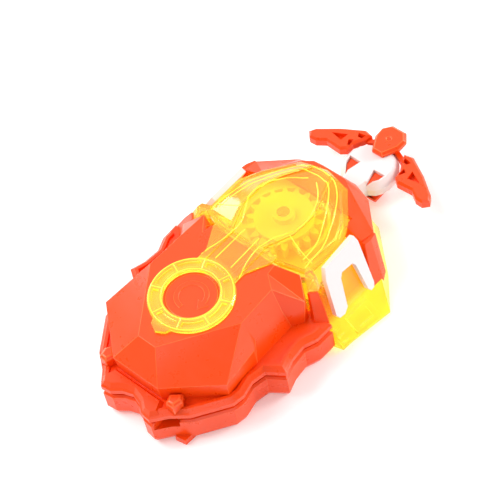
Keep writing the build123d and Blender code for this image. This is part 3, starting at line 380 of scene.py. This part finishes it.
def make_materials():
    colours = bpy.context.scene.launcher_colours
    groups["Moulded Skin"] = moulded_skin_group()
    groups["Tone Drift"] = tone_drift_group()
    groups["Painted Glow"] = painted_glow_group()
    shell, edge = tuple(colours.shell), tuple(colours.shell_edge)
    satin = {"Specular_IOR_Level": 0.42}
    moulded("shell_abs", shell, toned(shell, 0.94), rough=(0.26, 0.38), bump=0.045, **satin)
    # Painted highlight: the shell's rounded edges take a paler copy of the shell colour.
    moulded("shell_edge", edge, shell, rough=(0.28, 0.42), **satin)
    moulded("white_shell", tuple(colours.white), toned(colours.white, 0.97), rough=(0.3, 0.42), **satin)
    # glow and ring set the painted glow of each clear plastic; shade tints the lamplight that passes through.
    clear_plastic(
        "amber_clear", tuple(colours.amber), tuple(colours.amber_edge),
        glow=(0.02, 0.07), shade=(1.0, 0.86, 0.5), ring=(0.10, 0.32),
    )
    # Painted highlight on the amber's rounded edges and ribs: a brighter colour with a strong painted glow.
    clear_plastic(
        "amber_edge", tuple(colours.amber_edge), (1.0, 0.80, 0.10),
        glow=(0.16, 0.40), shade=(1.0, 0.9, 0.6), transmission=0.35,
    )
    clear_plastic(
        "skirt_clear", tuple(colours.skirt), (1.0, 0.84, 0.10),
        glow=(0.05, 0.16), shade=(1.0, 0.9, 0.45), transmission=0.7, upper=(1.0, 0.50, 0.02),
    )
    # Painted highlight on the skirt's rounded edges: a paler colour with a strong painted glow.
    clear_plastic(
        "skirt_edge", (1.0, 0.86, 0.12), (1.0, 0.92, 0.30),
        glow=(0.22, 0.42), shade=(1.0, 0.92, 0.6), transmission=0.3,
    )
    # The gear's small emission is a painted glow, so that it looks lit through the amber.
    moulded(
        "acetal_yellow", tuple(colours.gear), toned(colours.gear, 0.92), rough=(0.3, 0.45),
        Emission_Color=rgba(colours.gear), Emission_Strength=0.06, **satin,
    )
    moulded("acetal_natural", (0.86, 0.80, 0.62), rough=(0.35, 0.5))
    moulded("nylon_dark", (0.035, 0.035, 0.04), (0.05, 0.05, 0.055), rough=(0.38, 0.55), bump=0.12)
    moulded("steel_plated", (0.60, 0.60, 0.62), (0.50, 0.51, 0.55), rough=(0.2, 0.34), Metallic=1.0)
    moulded("steel_spring", (0.34, 0.36, 0.42), (0.24, 0.26, 0.32), rough=(0.22, 0.34), Metallic=1.0)
    moulded(
        "cord_braided", (0.82, 0.81, 0.78), (0.70, 0.69, 0.66), rough=(0.7, 0.85), bump=0.3, Sheen_Weight=0.4
    )
    moulded(
        "floor_paper", (0.94, 0.93, 0.935), (0.95, 0.945, 0.945), rough=(0.8, 0.85), bump=0.0,
        Emission_Color=(1, 1, 1, 1), Emission_Strength=0.16, Specular_IOR_Level=0.1,
    )


# ---- Mesh helpers --------------------------------------------------------------------------------------------
def in_scene(name, data):
    """A new object with this mesh, lamp or camera, linked to the scene."""
    holder = bpy.data.objects.new(name, data)
    bpy.context.scene.collection.objects.link(holder)
    return holder


def keep_object(name, mesh, body, replaced=()):
    """A finished piece that moves with a body, and the CAD nodes that it stands for."""
    piece = in_scene(name, mesh)
    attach(piece, body)
    if replaced:
        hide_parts(*replaced)
    return piece


def applied(piece):
    """The evaluated mesh of a piece, which then keeps no modifier."""
    graph = bpy.context.evaluated_depsgraph_get()
    mesh = bpy.data.meshes.new_from_object(
        piece.evaluated_get(graph), preserve_all_data_layers=True, depsgraph=graph
    )
    piece.modifiers.clear()
    piece.data = mesh
    return mesh


def merged_copy(node):
    """A copy of a CAD node's mesh with its loose triangles joined and its flat faces whole."""
    mesh = frame["nodes"][node].data.copy()
    work = bmesh.new()
    work.from_mesh(mesh)
    bmesh.ops.remove_doubles(work, verts=work.verts, dist=MERGE_DISTANCE)
    bmesh.ops.dissolve_degenerate(work, dist=1e-6, edges=work.edges)
    bmesh.ops.dissolve_limit(
        work, angle_limit=FLAT_ANGLE, verts=work.verts, edges=work.edges, use_dissolve_boundaries=False
    )
    for face in work.faces:
        face.material_index = 0
        face.smooth = True
    work.to_mesh(mesh)
    work.free()
    mesh.materials.clear()
    return mesh


def rounded_copy(node, name, width, main, edge=None, segments=2):
    """The node's own shape with rounded edges. The rounding may carry a second material."""
    mesh = merged_copy(node)
    mesh.materials.append(materials[main])
    mesh.materials.append(materials[edge or main])
    piece = in_scene(name, mesh)
    bevel = piece.modifiers.new("Rounding", "BEVEL")
    bevel.width = width
    bevel.segments = segments
    bevel.limit_method = "ANGLE"
    bevel.angle_limit = SHARP_ANGLE
    bevel.use_clamp_overlap = True
    bevel.loop_slide = False
    # The rounding takes the second material, which for the shell and the clear plastics is a painted edge highlight.
    bevel.material = 1
    normals = piece.modifiers.new("Flat faces stay flat", "WEIGHTED_NORMAL")
    normals.keep_sharp = True
    mesh.set_sharp_from_angle(angle=SMOOTH_ANGLE)
    applied(piece)
    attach(piece, frame_body(node))
    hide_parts(node)


def frame_body(node):
    for body, nodes in frame["record"]["behaviour"]["bodies"].items():
        if node in nodes:
            return body
    raise RuntimeError("no body holds " + node)


def paint(node, material):
    """Gives a CAD node that stays as it is its material."""
    data = frame["nodes"][node].data
    data.materials.clear()
    data.materials.append(materials[material])


def middle(node):
    low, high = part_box(node)
    return (Vector(low) + Vector(high)) / 2


def islands(node):
    """The lowest and highest corners of each separate solid in a node."""
    work = bmesh.new()
    work.from_mesh(frame["nodes"][node].data)
    bmesh.ops.remove_doubles(work, verts=work.verts, dist=MERGE_DISTANCE)
    left = set(work.verts)
    boxes = []
    while left:
        seen = [left.pop()]
        for vertex in seen:
            for edge in vertex.link_edges:
                other = edge.other_vert(vertex)
                if other in left:
                    left.remove(other)
                    seen.append(other)
        low = Vector([min(v.co[k] for v in seen) for k in range(3)])
        high = Vector([max(v.co[k] for v in seen) for k in range(3)])
        boxes.append((low, high))
    work.free()
    return sorted(boxes, key=lambda pair: tuple(round(c, 5) for c in pair[0]))


# ---- Geometry node helpers -----------------------------------------------------------------------------------
def new_tree(name, inputs):
    """A geometry node tree with a Geometry input and output and the named inputs (name, type, default)."""
    tree = bpy.data.node_groups.new(name, "GeometryNodeTree")
    tree.interface.new_socket("Geometry", in_out="INPUT", socket_type="NodeSocketGeometry")
    tree.interface.new_socket("Geometry", in_out="OUTPUT", socket_type="NodeSocketGeometry")
    for label, kind, default in inputs:
        socket = tree.interface.new_socket(label, in_out="INPUT", socket_type=kind)
        if default is not None:
            socket.default_value = default
    return tree, tree.nodes.new("NodeGroupInput"), tree.nodes.new("NodeGroupOutput")


def add_node(tree, kind, links=(), **settings):
    """A node with sockets set by name: a plain value is set, and a socket is linked."""
    node = tree.nodes.new(kind)
    for key, value in settings.items():
        setattr(node, key, value)
    for socket, value in links:
        target = node.inputs[socket]
        if isinstance(value, bpy.types.NodeSocket):
            tree.links.new(value, target)
        else:
            target.default_value = value
    return node


def finish_tree(tree, sink, geometry, source):
    realize = add_node(tree, "GeometryNodeRealizeInstances", [("Geometry", geometry)])
    painted = add_node(
        tree, "GeometryNodeSetMaterial",
        [("Geometry", realize.outputs[0]), ("Material", source.outputs["Material"])],
    )
    tree.links.new(painted.outputs[0], sink.inputs["Geometry"])
    return tree


def grown(tree, start_mesh, name, **values):
    """The plain mesh that a tree grows from a start mesh, with the named inputs set."""
    holder = in_scene(name, start_mesh)
    modifier = holder.modifiers.new("Nodes", "NODES")
    modifier.node_group = tree
    for item in tree.interface.items_tree:
        key = item.name.replace(" ", "_")
        if item.in_out == "INPUT" and key in values:
            modifier[item.identifier] = values[key]
    mesh = applied(holder)
    bpy.data.objects.remove(holder)
    return mesh


def point_mesh(name, points):
    mesh = bpy.data.meshes.new(name)
    mesh.from_pydata([tuple(p) for p in points], [], [])
    return mesh


def screw_tree():
    """One cross-recessed screw at each point, its head down and its shank up."""
    tree, source, sink = new_tree(
        "Case Screws",
        [
            ("Head Radius", "NodeSocketFloat", 0.0027), ("Head Height", "NodeSocketFloat", 0.0013),
            ("Shank Radius", "NodeSocketFloat", 0.0013), ("Shank Length", "NodeSocketFloat", 0.015),
            ("Recess Width", "NodeSocketFloat", 0.0005), ("Material", "NodeSocketMaterial", None),
        ],
    )
    out = source.outputs
    head = add_node(
        tree, "GeometryNodeMeshCylinder",
        [("Vertices", 32), ("Side Segments", 1), ("Radius", out["Head Radius"]), ("Depth", out["Head Height"])],
    )
    cross = []
    for turn in (0.0, math.pi / 2):
        length = add_node(tree, "ShaderNodeMath", [(0, out["Head Radius"]), (1, 1.2)], operation="MULTIPLY")
        size = add_node(
            tree, "ShaderNodeCombineXYZ",
            [("X", length.outputs[0]), ("Y", out["Recess Width"]), ("Z", out["Head Height"])],
        )
        bar = add_node(tree, "GeometryNodeMeshCube", [("Size", size.outputs[0])])
        down = add_node(tree, "ShaderNodeMath", [(0, out["Head Height"]), (1, -0.55)], operation="MULTIPLY")
        offset = add_node(tree, "ShaderNodeCombineXYZ", [("Z", down.outputs[0])])
        placed = add_node(
            tree, "GeometryNodeTransform",
            [("Geometry", bar.outputs["Mesh"]), ("Translation", offset.outputs[0]), ("Rotation", (0, 0, turn))],
        )
        cross.append(placed.outputs[0])
    cut = head.outputs["Mesh"]
    for bar in cross:
        boolean = add_node(tree, "GeometryNodeMeshBoolean", operation="DIFFERENCE")
        tree.links.new(cut, boolean.inputs["Mesh 1"])
        tree.links.new(bar, boolean.inputs["Mesh 2"])
        cut = boolean.outputs["Mesh"]
    shank = add_node(
        tree, "GeometryNodeMeshCylinder",
        [("Vertices", 20), ("Side Segments", 1), ("Radius", out["Shank Radius"]), ("Depth", out["Shank Length"])],
    )
    half = add_node(tree, "ShaderNodeMath", [(0, out["Shank Length"]), (1, 0.5)], operation="MULTIPLY")
    rise = add_node(tree, "ShaderNodeCombineXYZ", [("Z", half.outputs[0])])
    stem = add_node(
        tree, "GeometryNodeTransform",
        [("Geometry", shank.outputs["Mesh"]), ("Translation", rise.outputs[0])],
    )
    screw = add_node(tree, "GeometryNodeJoinGeometry")
    for part in (cut, stem.outputs[0]):
        tree.links.new(part, screw.inputs[0])
    spread = add_node(
        tree, "GeometryNodeInstanceOnPoints",
        [("Points", out["Geometry"]), ("Instance", screw.outputs[0])],
    )
    return finish_tree(tree, sink, spread.outputs["Instances"], source)


def helix_tree():
    """A round wire wound into a helix above each point."""
    tree, source, sink = new_tree(
        "Wound Wire",
        [
            ("Radius", "NodeSocketFloat", 0.003), ("Height", "NodeSocketFloat", 0.006),
            ("Turns", "NodeSocketFloat", 6.0), ("Wire Radius", "NodeSocketFloat", 0.0003),
            ("Steps", "NodeSocketInt", 32), ("Sides", "NodeSocketInt", 10), ("Starts", "NodeSocketInt", 1),
            ("Material", "NodeSocketMaterial", None),
        ],
    )
    out = source.outputs
    spiral = add_node(
        tree, "GeometryNodeCurveSpiral",
        [
            ("Resolution", out["Steps"]), ("Rotations", out["Turns"]), ("Start Radius", out["Radius"]),
            ("End Radius", out["Radius"]), ("Height", out["Height"]),
        ],
    )
    section = add_node(
        tree, "GeometryNodeCurvePrimitiveCircle", [("Resolution", out["Sides"]), ("Radius", out["Wire Radius"])]
    )
    wire = add_node(
        tree, "GeometryNodeCurveToMesh",
        [("Curve", spiral.outputs[0]), ("Profile Curve", section.outputs[0]), ("Fill Caps", True)],
    )
    starts = add_node(
        tree, "GeometryNodeDuplicateElements", [("Geometry", out["Geometry"]), ("Amount", out["Starts"])],
        domain="POINT",
    )
    step = add_node(tree, "ShaderNodeMath", [(0, math.tau), (1, out["Starts"])], operation="DIVIDE")
    turn = add_node(
        tree, "ShaderNodeMath", [(0, starts.outputs["Duplicate Index"]), (1, step.outputs[0])], operation="MULTIPLY"
    )
    angles = add_node(tree, "ShaderNodeCombineXYZ", [("Z", turn.outputs[0])])
    spread = add_node(
        tree, "GeometryNodeInstanceOnPoints",
        [("Points", starts.outputs[0]), ("Instance", wire.outputs[0]), ("Rotation", angles.outputs[0])],
    )
    return finish_tree(tree, sink, spread.outputs["Instances"], source)


def rib_tree():
    """A rib along each line of the mesh, with a section of so many sides."""
    tree, source, sink = new_tree(
        "Moulded Ribs",
        [
            ("Rib Radius", "NodeSocketFloat", 0.0003), ("Sides", "NodeSocketInt", 8),
            ("Material", "NodeSocketMaterial", None),
        ],
    )
    out = source.outputs
    lines = add_node(tree, "GeometryNodeMeshToCurve", [("Mesh", out["Geometry"])])
    section = add_node(
        tree, "GeometryNodeCurvePrimitiveCircle", [("Resolution", out["Sides"]), ("Radius", out["Rib Radius"])]
    )
    ribs = add_node(
        tree, "GeometryNodeCurveToMesh",
        [("Curve", lines.outputs[0]), ("Profile Curve", section.outputs[0]), ("Fill Caps", True)],
    )
    return finish_tree(tree, sink, ribs.outputs[0], source)


def softened(line):
    """The line with its corners cut twice, which leaves it smooth."""
    for _ in range(2):
        cut = [line[0]]
        for start, end in zip(line, line[1:]):
            cut += [tuple(a + (b - a) * share for a, b in zip(start, end)) for share in (0.25, 0.75)]
        line = cut + [line[-1]]
    return line


def draped_lines(name, node, lines, lift):
    """The plan lines, in millimetres, laid over the top of a CAD node in steps of a millimetre, and lifted."""
    data = frame["nodes"][node].data
    surface = BVHTree.FromPolygons([v.co for v in data.vertices], [list(p.vertices) for p in data.polygons])
    points, edges = [], []
    for line in map(softened, lines):
        for side in (1, -1):
            last = None
            for start, end in zip(line, line[1:]):
                steps = max(1, int(math.dist(start, end)))
                for k in range(steps + (end is line[-1])):
                    share = k / steps
                    x = side * (start[0] + (end[0] - start[0]) * share) * MM
                    y = (start[1] + (end[1] - start[1]) * share) * MM
                    hit = surface.ray_cast(Vector((x, y, RAY_START)), Vector((0, 0, -1)))[0]
                    if hit is None or (last is not None and abs(hit.z - points[last][2]) > LINE_STEP):
                        last = None
                        continue
                    points.append((x, y, hit.z + lift))
                    if last is not None:
                        edges.append((last, len(points) - 1))
                    last = len(points) - 1
    mesh = bpy.data.meshes.new(name)
    mesh.from_pydata(points, edges, [])
    return mesh


# ---- Operators -----------------------------------------------------------------------------------------------
class LAUNCHER_OT_stage(bpy.types.Operator):
    """Make the floor, the lights and the camera"""

    bl_idname = "launcher.stage"
    bl_label = "Stage"

    # Name, offset from the target and size in metres, and power in watts.
    lamps = (
        ("key_light", (-0.55, -0.40, 0.95), 0.7, 9.0),
        ("gloss_light", (-0.50, 0.42, 0.85), 0.9, 1.6),
        ("left_light", (-1.00, 0.20, 0.20), 0.5, 3.5),
        ("rear_light", (0.55, 0.95, 0.36), 0.5, 10.0),
        ("fill_light", (0.80, -0.60, 0.60), 0.7, 2.0),
    )

    def execute(self, context):
        settings = context.scene.launcher_stage
        floor_mesh = bpy.data.meshes.new("floor")
        reach, level = 6.0, -0.0002
        floor_mesh.from_pydata(
            [(-reach, -reach, level), (reach, -reach, level), (reach, reach, level), (-reach, reach, level)],
            [], [(0, 1, 2, 3)],
        )
        floor_mesh.materials.append(materials["floor_paper"])
        in_scene("floor", floor_mesh)
        world = bpy.data.worlds.new("studio")
        world.use_nodes = True
        world.node_tree.nodes["Background"].inputs["Color"].default_value = (1.0, 0.99, 0.98, 1)
        world.node_tree.nodes["Background"].inputs["Strength"].default_value = 0.50
        context.scene.world = world
        context.scene.view_settings.view_transform = "Standard"
        target = Vector(settings.target)
        for lamp in self.lamps:
            self.softbox(target, *lamp)
        self.camera(context, settings, target)
        return {"FINISHED"}

    def softbox(self, target, name, offset, size, power):
        light = bpy.data.lights.new(name, "AREA")
        light.shape = "DISK"
        light.size = size
        light.energy = power
        holder = in_scene(name, light)
        holder.location = target + Vector(offset)
        holder.rotation_euler = (-Vector(offset)).to_track_quat("-Z", "Y").to_euler()

    def camera(self, context, settings, target):
        around, up = settings.azimuth, settings.elevation
        back = Vector((math.sin(around) * math.cos(up), -math.cos(around) * math.cos(up), math.sin(up)))
        right = Vector((math.cos(around), math.sin(around), 0))
        upright = Matrix((right, back.cross(right), back)).transposed()
        lens = bpy.data.cameras.new("camera")
        lens.lens = settings.lens
        lens.clip_start, lens.clip_end = 0.05, 20.0
        camera = in_scene("camera", lens)
        turned = upright @ Matrix.Rotation(-settings.roll, 3, "Z")
        camera.matrix_world = Matrix.Translation(target + back * settings.distance) @ turned.to_4x4()
        context.scene.camera = camera


class LAUNCHER_OT_cases(bpy.types.Operator):
    """Make the two flanged cases and the shoulder clips with rounded edges"""

    bl_idname = "launcher.cases"
    bl_label = "Flanged cases"

    def execute(self, context):
        width = context.scene.launcher_sizes.shell_round
        rounded_copy("lower_flange_case", "lower_case_shell", width, "shell_abs", "shell_edge")
        rounded_copy("upper_flange_case", "upper_case_shell", width, "shell_abs", "shell_edge")
        rounded_copy("shoulder_clips", "shoulder_clip_pair", width, "shell_abs", "shell_edge")
        return {"FINISHED"}


class LAUNCHER_OT_hood(bpy.types.Operator):
    """Make the gem-shaped hood and its round emblem cap"""

    bl_idname = "launcher.hood"
    bl_label = "Hood"

    def execute(self, context):
        sizes = context.scene.launcher_sizes
        rounded_copy("front_hood", "hood_shell", sizes.shell_round, "shell_abs", "shell_edge")
        rounded_copy("emblem_cap", "emblem_disc", sizes.small_round * 0.6, "shell_abs", "shell_edge")
        return {"FINISHED"}


class LAUNCHER_OT_window(bpy.types.Operator):
    """Make the clear amber ring and spool window"""

    bl_idname = "launcher.window"
    bl_label = "Amber window"

    # Right half of the ribs on the window, in plan and in millimetres.
    ribs = (
        ((0, 74.6), (6.4, 74.0), (12.4, 68.4), (18.6, 58.0), (22.8, 48.0), (23.4, 36.0)),
        ((0, 71.6), (6.0, 70.8), (10.6, 65.6), (16.4, 56.0), (20.6, 47.0), (21.0, 38.0)),
        (
            (2.0, 68.4), (7.4, 63.6), (12.0, 56.0), (13.4, 47.0),
            (9.6, 40.6), (6.8, 36.0), (6.4, 26.0), (9.4, 16.0),
        ),
        ((3.8, 17.6), (3.6, 34.0)),
        ((12.2, 41.6), (17.6, 40.0), (24.0, 39.4)),
    )

    def ring_lines(self):
        """Right half of the ring's two rims, and a spoke between each pair of slots."""
        inner, outer, spokes = 11.3, 15.9, 4
        arcs = [
            tuple((r * math.sin(math.pi * k / 24), -r * math.cos(math.pi * k / 24)) for k in range(25))
            for r in (inner, outer)
        ]
        angles = [math.pi * (k + 0.5) / spokes for k in range(spokes)]
        rays = [tuple((r * math.sin(a), -r * math.cos(a)) for r in (inner, outer)) for a in angles]
        return tuple(arcs + rays)

    def execute(self, context):
        sizes = context.scene.launcher_sizes
        rounded_copy("ring_window_cover", "amber_window", sizes.small_round * 1.8, "amber_clear", "amber_edge")
        sunk = -0.12 * MM
        lines = draped_lines("rib_lines", "ring_window_cover", self.ribs + self.ring_lines(), sunk)
        # The ribs carry the amber's painted edge highlight.
        mesh = grown(
            rib_tree(), lines, "ribs", Rib_Radius=sizes.rib_radius, Material=materials["amber_edge"],
        )
        piece = keep_object("window_ribs", mesh, "housing")
        piece.data.materials.clear()
        piece.data.materials.append(materials["amber_edge"])
        return {"FINISHED"}


class LAUNCHER_OT_rear(bpy.types.Operator):
    """Make the clear skirt, the red rim and the white brackets"""

    bl_idname = "launcher.rear"
    bl_label = "Rear housing"

    def execute(self, context):
        sizes = context.scene.launcher_sizes
        rounded_copy("rear_housing", "clear_skirt", sizes.small_round, "skirt_clear", "skirt_edge")
        rounded_copy("rear_rim", "rim_band", sizes.shell_round, "shell_abs", "shell_edge")
        width = sizes.shell_round * 2.2
        for side in ("right", "left"):
            rounded_copy(side + "_bracket", side + "_bracket_clip", width, "white_shell", segments=3)
        return {"FINISHED"}


class LAUNCHER_OT_handle(bpy.types.Operator):
    """Make the pull handle: hub, eye plate, grip wings and cap"""

    bl_idname = "launcher.handle"
    bl_label = "Pull handle"

    def execute(self, context):
        sizes = context.scene.launcher_sizes
        rounded_copy("handle_hub", "hub_shell", sizes.shell_round * 1.4, "white_shell", segments=3)
        rounded_copy("eye_plate", "eye_backing", sizes.small_round, "shell_abs", "shell_edge")
        rounded_copy("grip_wings", "grip_pair", sizes.shell_round, "shell_abs", "shell_edge")
        rounded_copy("grip_cap", "grip_cap_shell", sizes.shell_round, "shell_abs", "shell_edge")
        return {"FINISHED"}


class LAUNCHER_OT_mechanism(bpy.types.Operator):
    """Finish the gears, shafts, pins and the hook plate"""

    bl_idname = "launcher.mechanism"
    bl_label = "Mechanism"

    finishes = {
        "spring_cup": "shell_abs", "spiral_spring": "steel_spring", "spool_pin": "steel_plated",
        "idler_pin": "steel_plated", "launch_bush": "acetal_natural", "string_outlet": "acetal_natural",
        "string_spool": "acetal_natural", "idler_gear": "acetal_natural", "launch_pinion": "acetal_natural",
        "launch_shaft": "steel_plated", "shaft_clip": "steel_spring", "lock_pin": "acetal_natural",
    }

    def execute(self, context):
        width = context.scene.launcher_sizes.small_round
        for node, material in self.finishes.items():
            paint(node, material)
        rounded_copy("spool_gear", "spool_gear_wheel", width, "acetal_yellow")
        rounded_copy("gear_chassis", "chassis_plate", width, "acetal_yellow")
        rounded_copy("hook_plate", "hook_disc", width, "nylon_dark")
        return {"FINISHED"}


class LAUNCHER_OT_screws(bpy.types.Operator):
    """Put a cross-recessed screw in each boss"""

    bl_idname = "launcher.screws"
    bl_label = "Case screws"

    def execute(self, context):
        tree = screw_tree()
        boxes = islands("case_screws")
        head_height = 1.28 * MM
        by_length = {}
        for low, high in boxes:
            place = Vector(((low.x + high.x) / 2, (low.y + high.y) / 2, low.z + head_height / 2))
            by_length.setdefault(round(high.z - place.z, 5), []).append(place)
        group = bmesh.new()
        for length, places in sorted(by_length.items()):
            mesh = grown(
                tree, point_mesh("screw_places", places), "screws",
                Head_Radius=(boxes[0][1].x - boxes[0][0].x) / 2, Head_Height=head_height,
                Shank_Length=length, Material=materials["steel_plated"],
            )
            group.from_mesh(mesh)
        joined = bpy.data.meshes.new("case_screw_set")
        group.to_mesh(joined)
        group.free()
        joined.materials.append(materials["steel_plated"])
        joined.set_sharp_from_angle(angle=SMOOTH_ANGLE)
        keep_object("case_screw_set", joined, "housing", ["case_screws"])
        return {"FINISHED"}


class LAUNCHER_OT_springs_and_string(bpy.types.Operator):
    """Wind the lock pin's spring and the string"""

    bl_idname = "launcher.springs_and_string"
    bl_label = "Spring and string"

    def execute(self, context):
        sizes = context.scene.launcher_sizes
        tree = helix_tree()
        self.pin_spring(tree, sizes)
        self.wound_string(tree, sizes)
        self.pull_string(tree, sizes)
        return {"FINISHED"}

    def wind(self, tree, name, low, radius, wire, height, turns, material, **more):
        start = point_mesh(name, [low])
        return grown(
            tree, start, name, Radius=radius, Wire_Radius=wire, Height=height, Turns=float(turns),
            Material=materials[material], **more,
        )

    def pin_spring(self, tree, sizes):
        low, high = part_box("lock_pin_spring")
        centre = middle("lock_pin_spring")
        wire = 0.3 * MM
        radius = (high[0] - low[0]) / 2 - wire
        mesh = self.wind(
            tree, "lock_pin_coil", (centre.x, centre.y, low[2] + wire), radius, wire,
            high[2] - low[2] - 2 * wire, sizes.spring_turns, "steel_spring",
        )
        piece = in_scene("lock_pin_coil", mesh)
        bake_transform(piece)
        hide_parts("lock_pin_spring")

    def wound_string(self, tree, sizes):
        low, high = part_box("wound_string")
        centre = middle("wound_string")
        wire = 0.6 * MM
        layer_pitch = 1.6  # distance between the layers, in wire radii
        outer = (high[0] - low[0]) / 2
        mesh = bmesh.new()
        for layer in range(2):
            coil = self.wind(
                tree, "string_layer", (centre.x, centre.y, low[2] + wire), outer - wire - layer * layer_pitch * wire,
                wire, high[2] - low[2] - 2 * wire, sizes.string_turns, "cord_braided", Steps=40,
            )
            mesh.from_mesh(coil)
        joined = bpy.data.meshes.new("string_winding")
        mesh.to_mesh(joined)
        mesh.free()
        joined.materials.append(materials["cord_braided"])
        keep_object("string_winding", joined, "spool", ["wound_string"])

    def pull_string(self, tree, sizes):
        """A twisted string from the spool to the knot in the hub."""
        low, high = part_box("pull_string")
        knot_radius = (high[2] - low[2]) / 2
        knot = Vector((0, high[1] - knot_radius, (low[2] + high[2]) / 2))
        outlet = Vector((0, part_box("string_outlet")[0][1] + 1.2 * MM, knot.z))
        spool = Vector((low[0] + 0.6 * MM, low[1] + 0.3 * MM, knot.z))
        strand = 0.27 * MM
        offset = 0.30 * MM
        pitch = 3.0 * MM
        work = bmesh.new()
        for start, end in ((spool, outlet), (outlet, knot)):
            run = end - start
            mesh = self.wind(
                tree, "string_run", (0, 0, 0), offset, strand, run.length, run.length / pitch, "cord_braided",
                Steps=14, Sides=8, Starts=sizes.strands,
            )
            turned = run.to_track_quat("Z", "Y").to_matrix().to_4x4()
            mesh.transform(Matrix.Translation(start) @ turned)
            work.from_mesh(mesh)
        bmesh.ops.create_uvsphere(
            work, u_segments=24, v_segments=14, radius=knot_radius, matrix=Matrix.Translation(knot)
        )
        joined = bpy.data.meshes.new("pull_string_line")
        work.to_mesh(joined)
        work.free()
        joined.materials.append(materials["cord_braided"])
        for face in joined.polygons:
            face.use_smooth = True
            face.material_index = 0
        piece = in_scene("pull_string_line", joined)
        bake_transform(piece)
        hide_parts("pull_string")


class LAUNCHER_PT_panel(bpy.types.Panel):
    """Lists the launcher's pieces"""

    bl_idname = "LAUNCHER_PT_panel"
    bl_label = "Launcher"
    bl_space_type = "VIEW_3D"
    bl_region_type = "UI"
    bl_category = "Launcher"

    def draw(self, context):
        for name in PIECES:
            self.layout.operator("launcher." + name)
        for group in ("launcher_colours", "launcher_sizes", "launcher_stage"):
            settings = getattr(context.scene, group)
            for key in settings.__annotations__:
                self.layout.prop(settings, key)


PIECES = (
    "stage", "cases", "hood", "window", "rear", "handle", "mechanism", "screws", "springs_and_string",
)
CLASSES = (
    LauncherColours, LauncherSizes, LauncherStage, LAUNCHER_OT_stage, LAUNCHER_OT_cases, LAUNCHER_OT_hood,
    LAUNCHER_OT_window, LAUNCHER_OT_rear, LAUNCHER_OT_handle, LAUNCHER_OT_mechanism, LAUNCHER_OT_screws,
    LAUNCHER_OT_springs_and_string, LAUNCHER_PT_panel,
)


def register():
    for cls in CLASSES:
        bpy.utils.register_class(cls)
    bpy.types.Scene.launcher_colours = PointerProperty(type=LauncherColours)
    bpy.types.Scene.launcher_sizes = PointerProperty(type=LauncherSizes)
    bpy.types.Scene.launcher_stage = PointerProperty(type=LauncherStage)


def unregister():
    for name in ("launcher_colours", "launcher_sizes", "launcher_stage"):
        delattr(bpy.types.Scene, name)
    for cls in reversed(CLASSES):
        bpy.utils.unregister_class(cls)


def main():
    register()
    make_materials()
    for name in PIECES:
        getattr(bpy.ops.launcher, name)()
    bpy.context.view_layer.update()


if __name__ == "__main__":
    main()
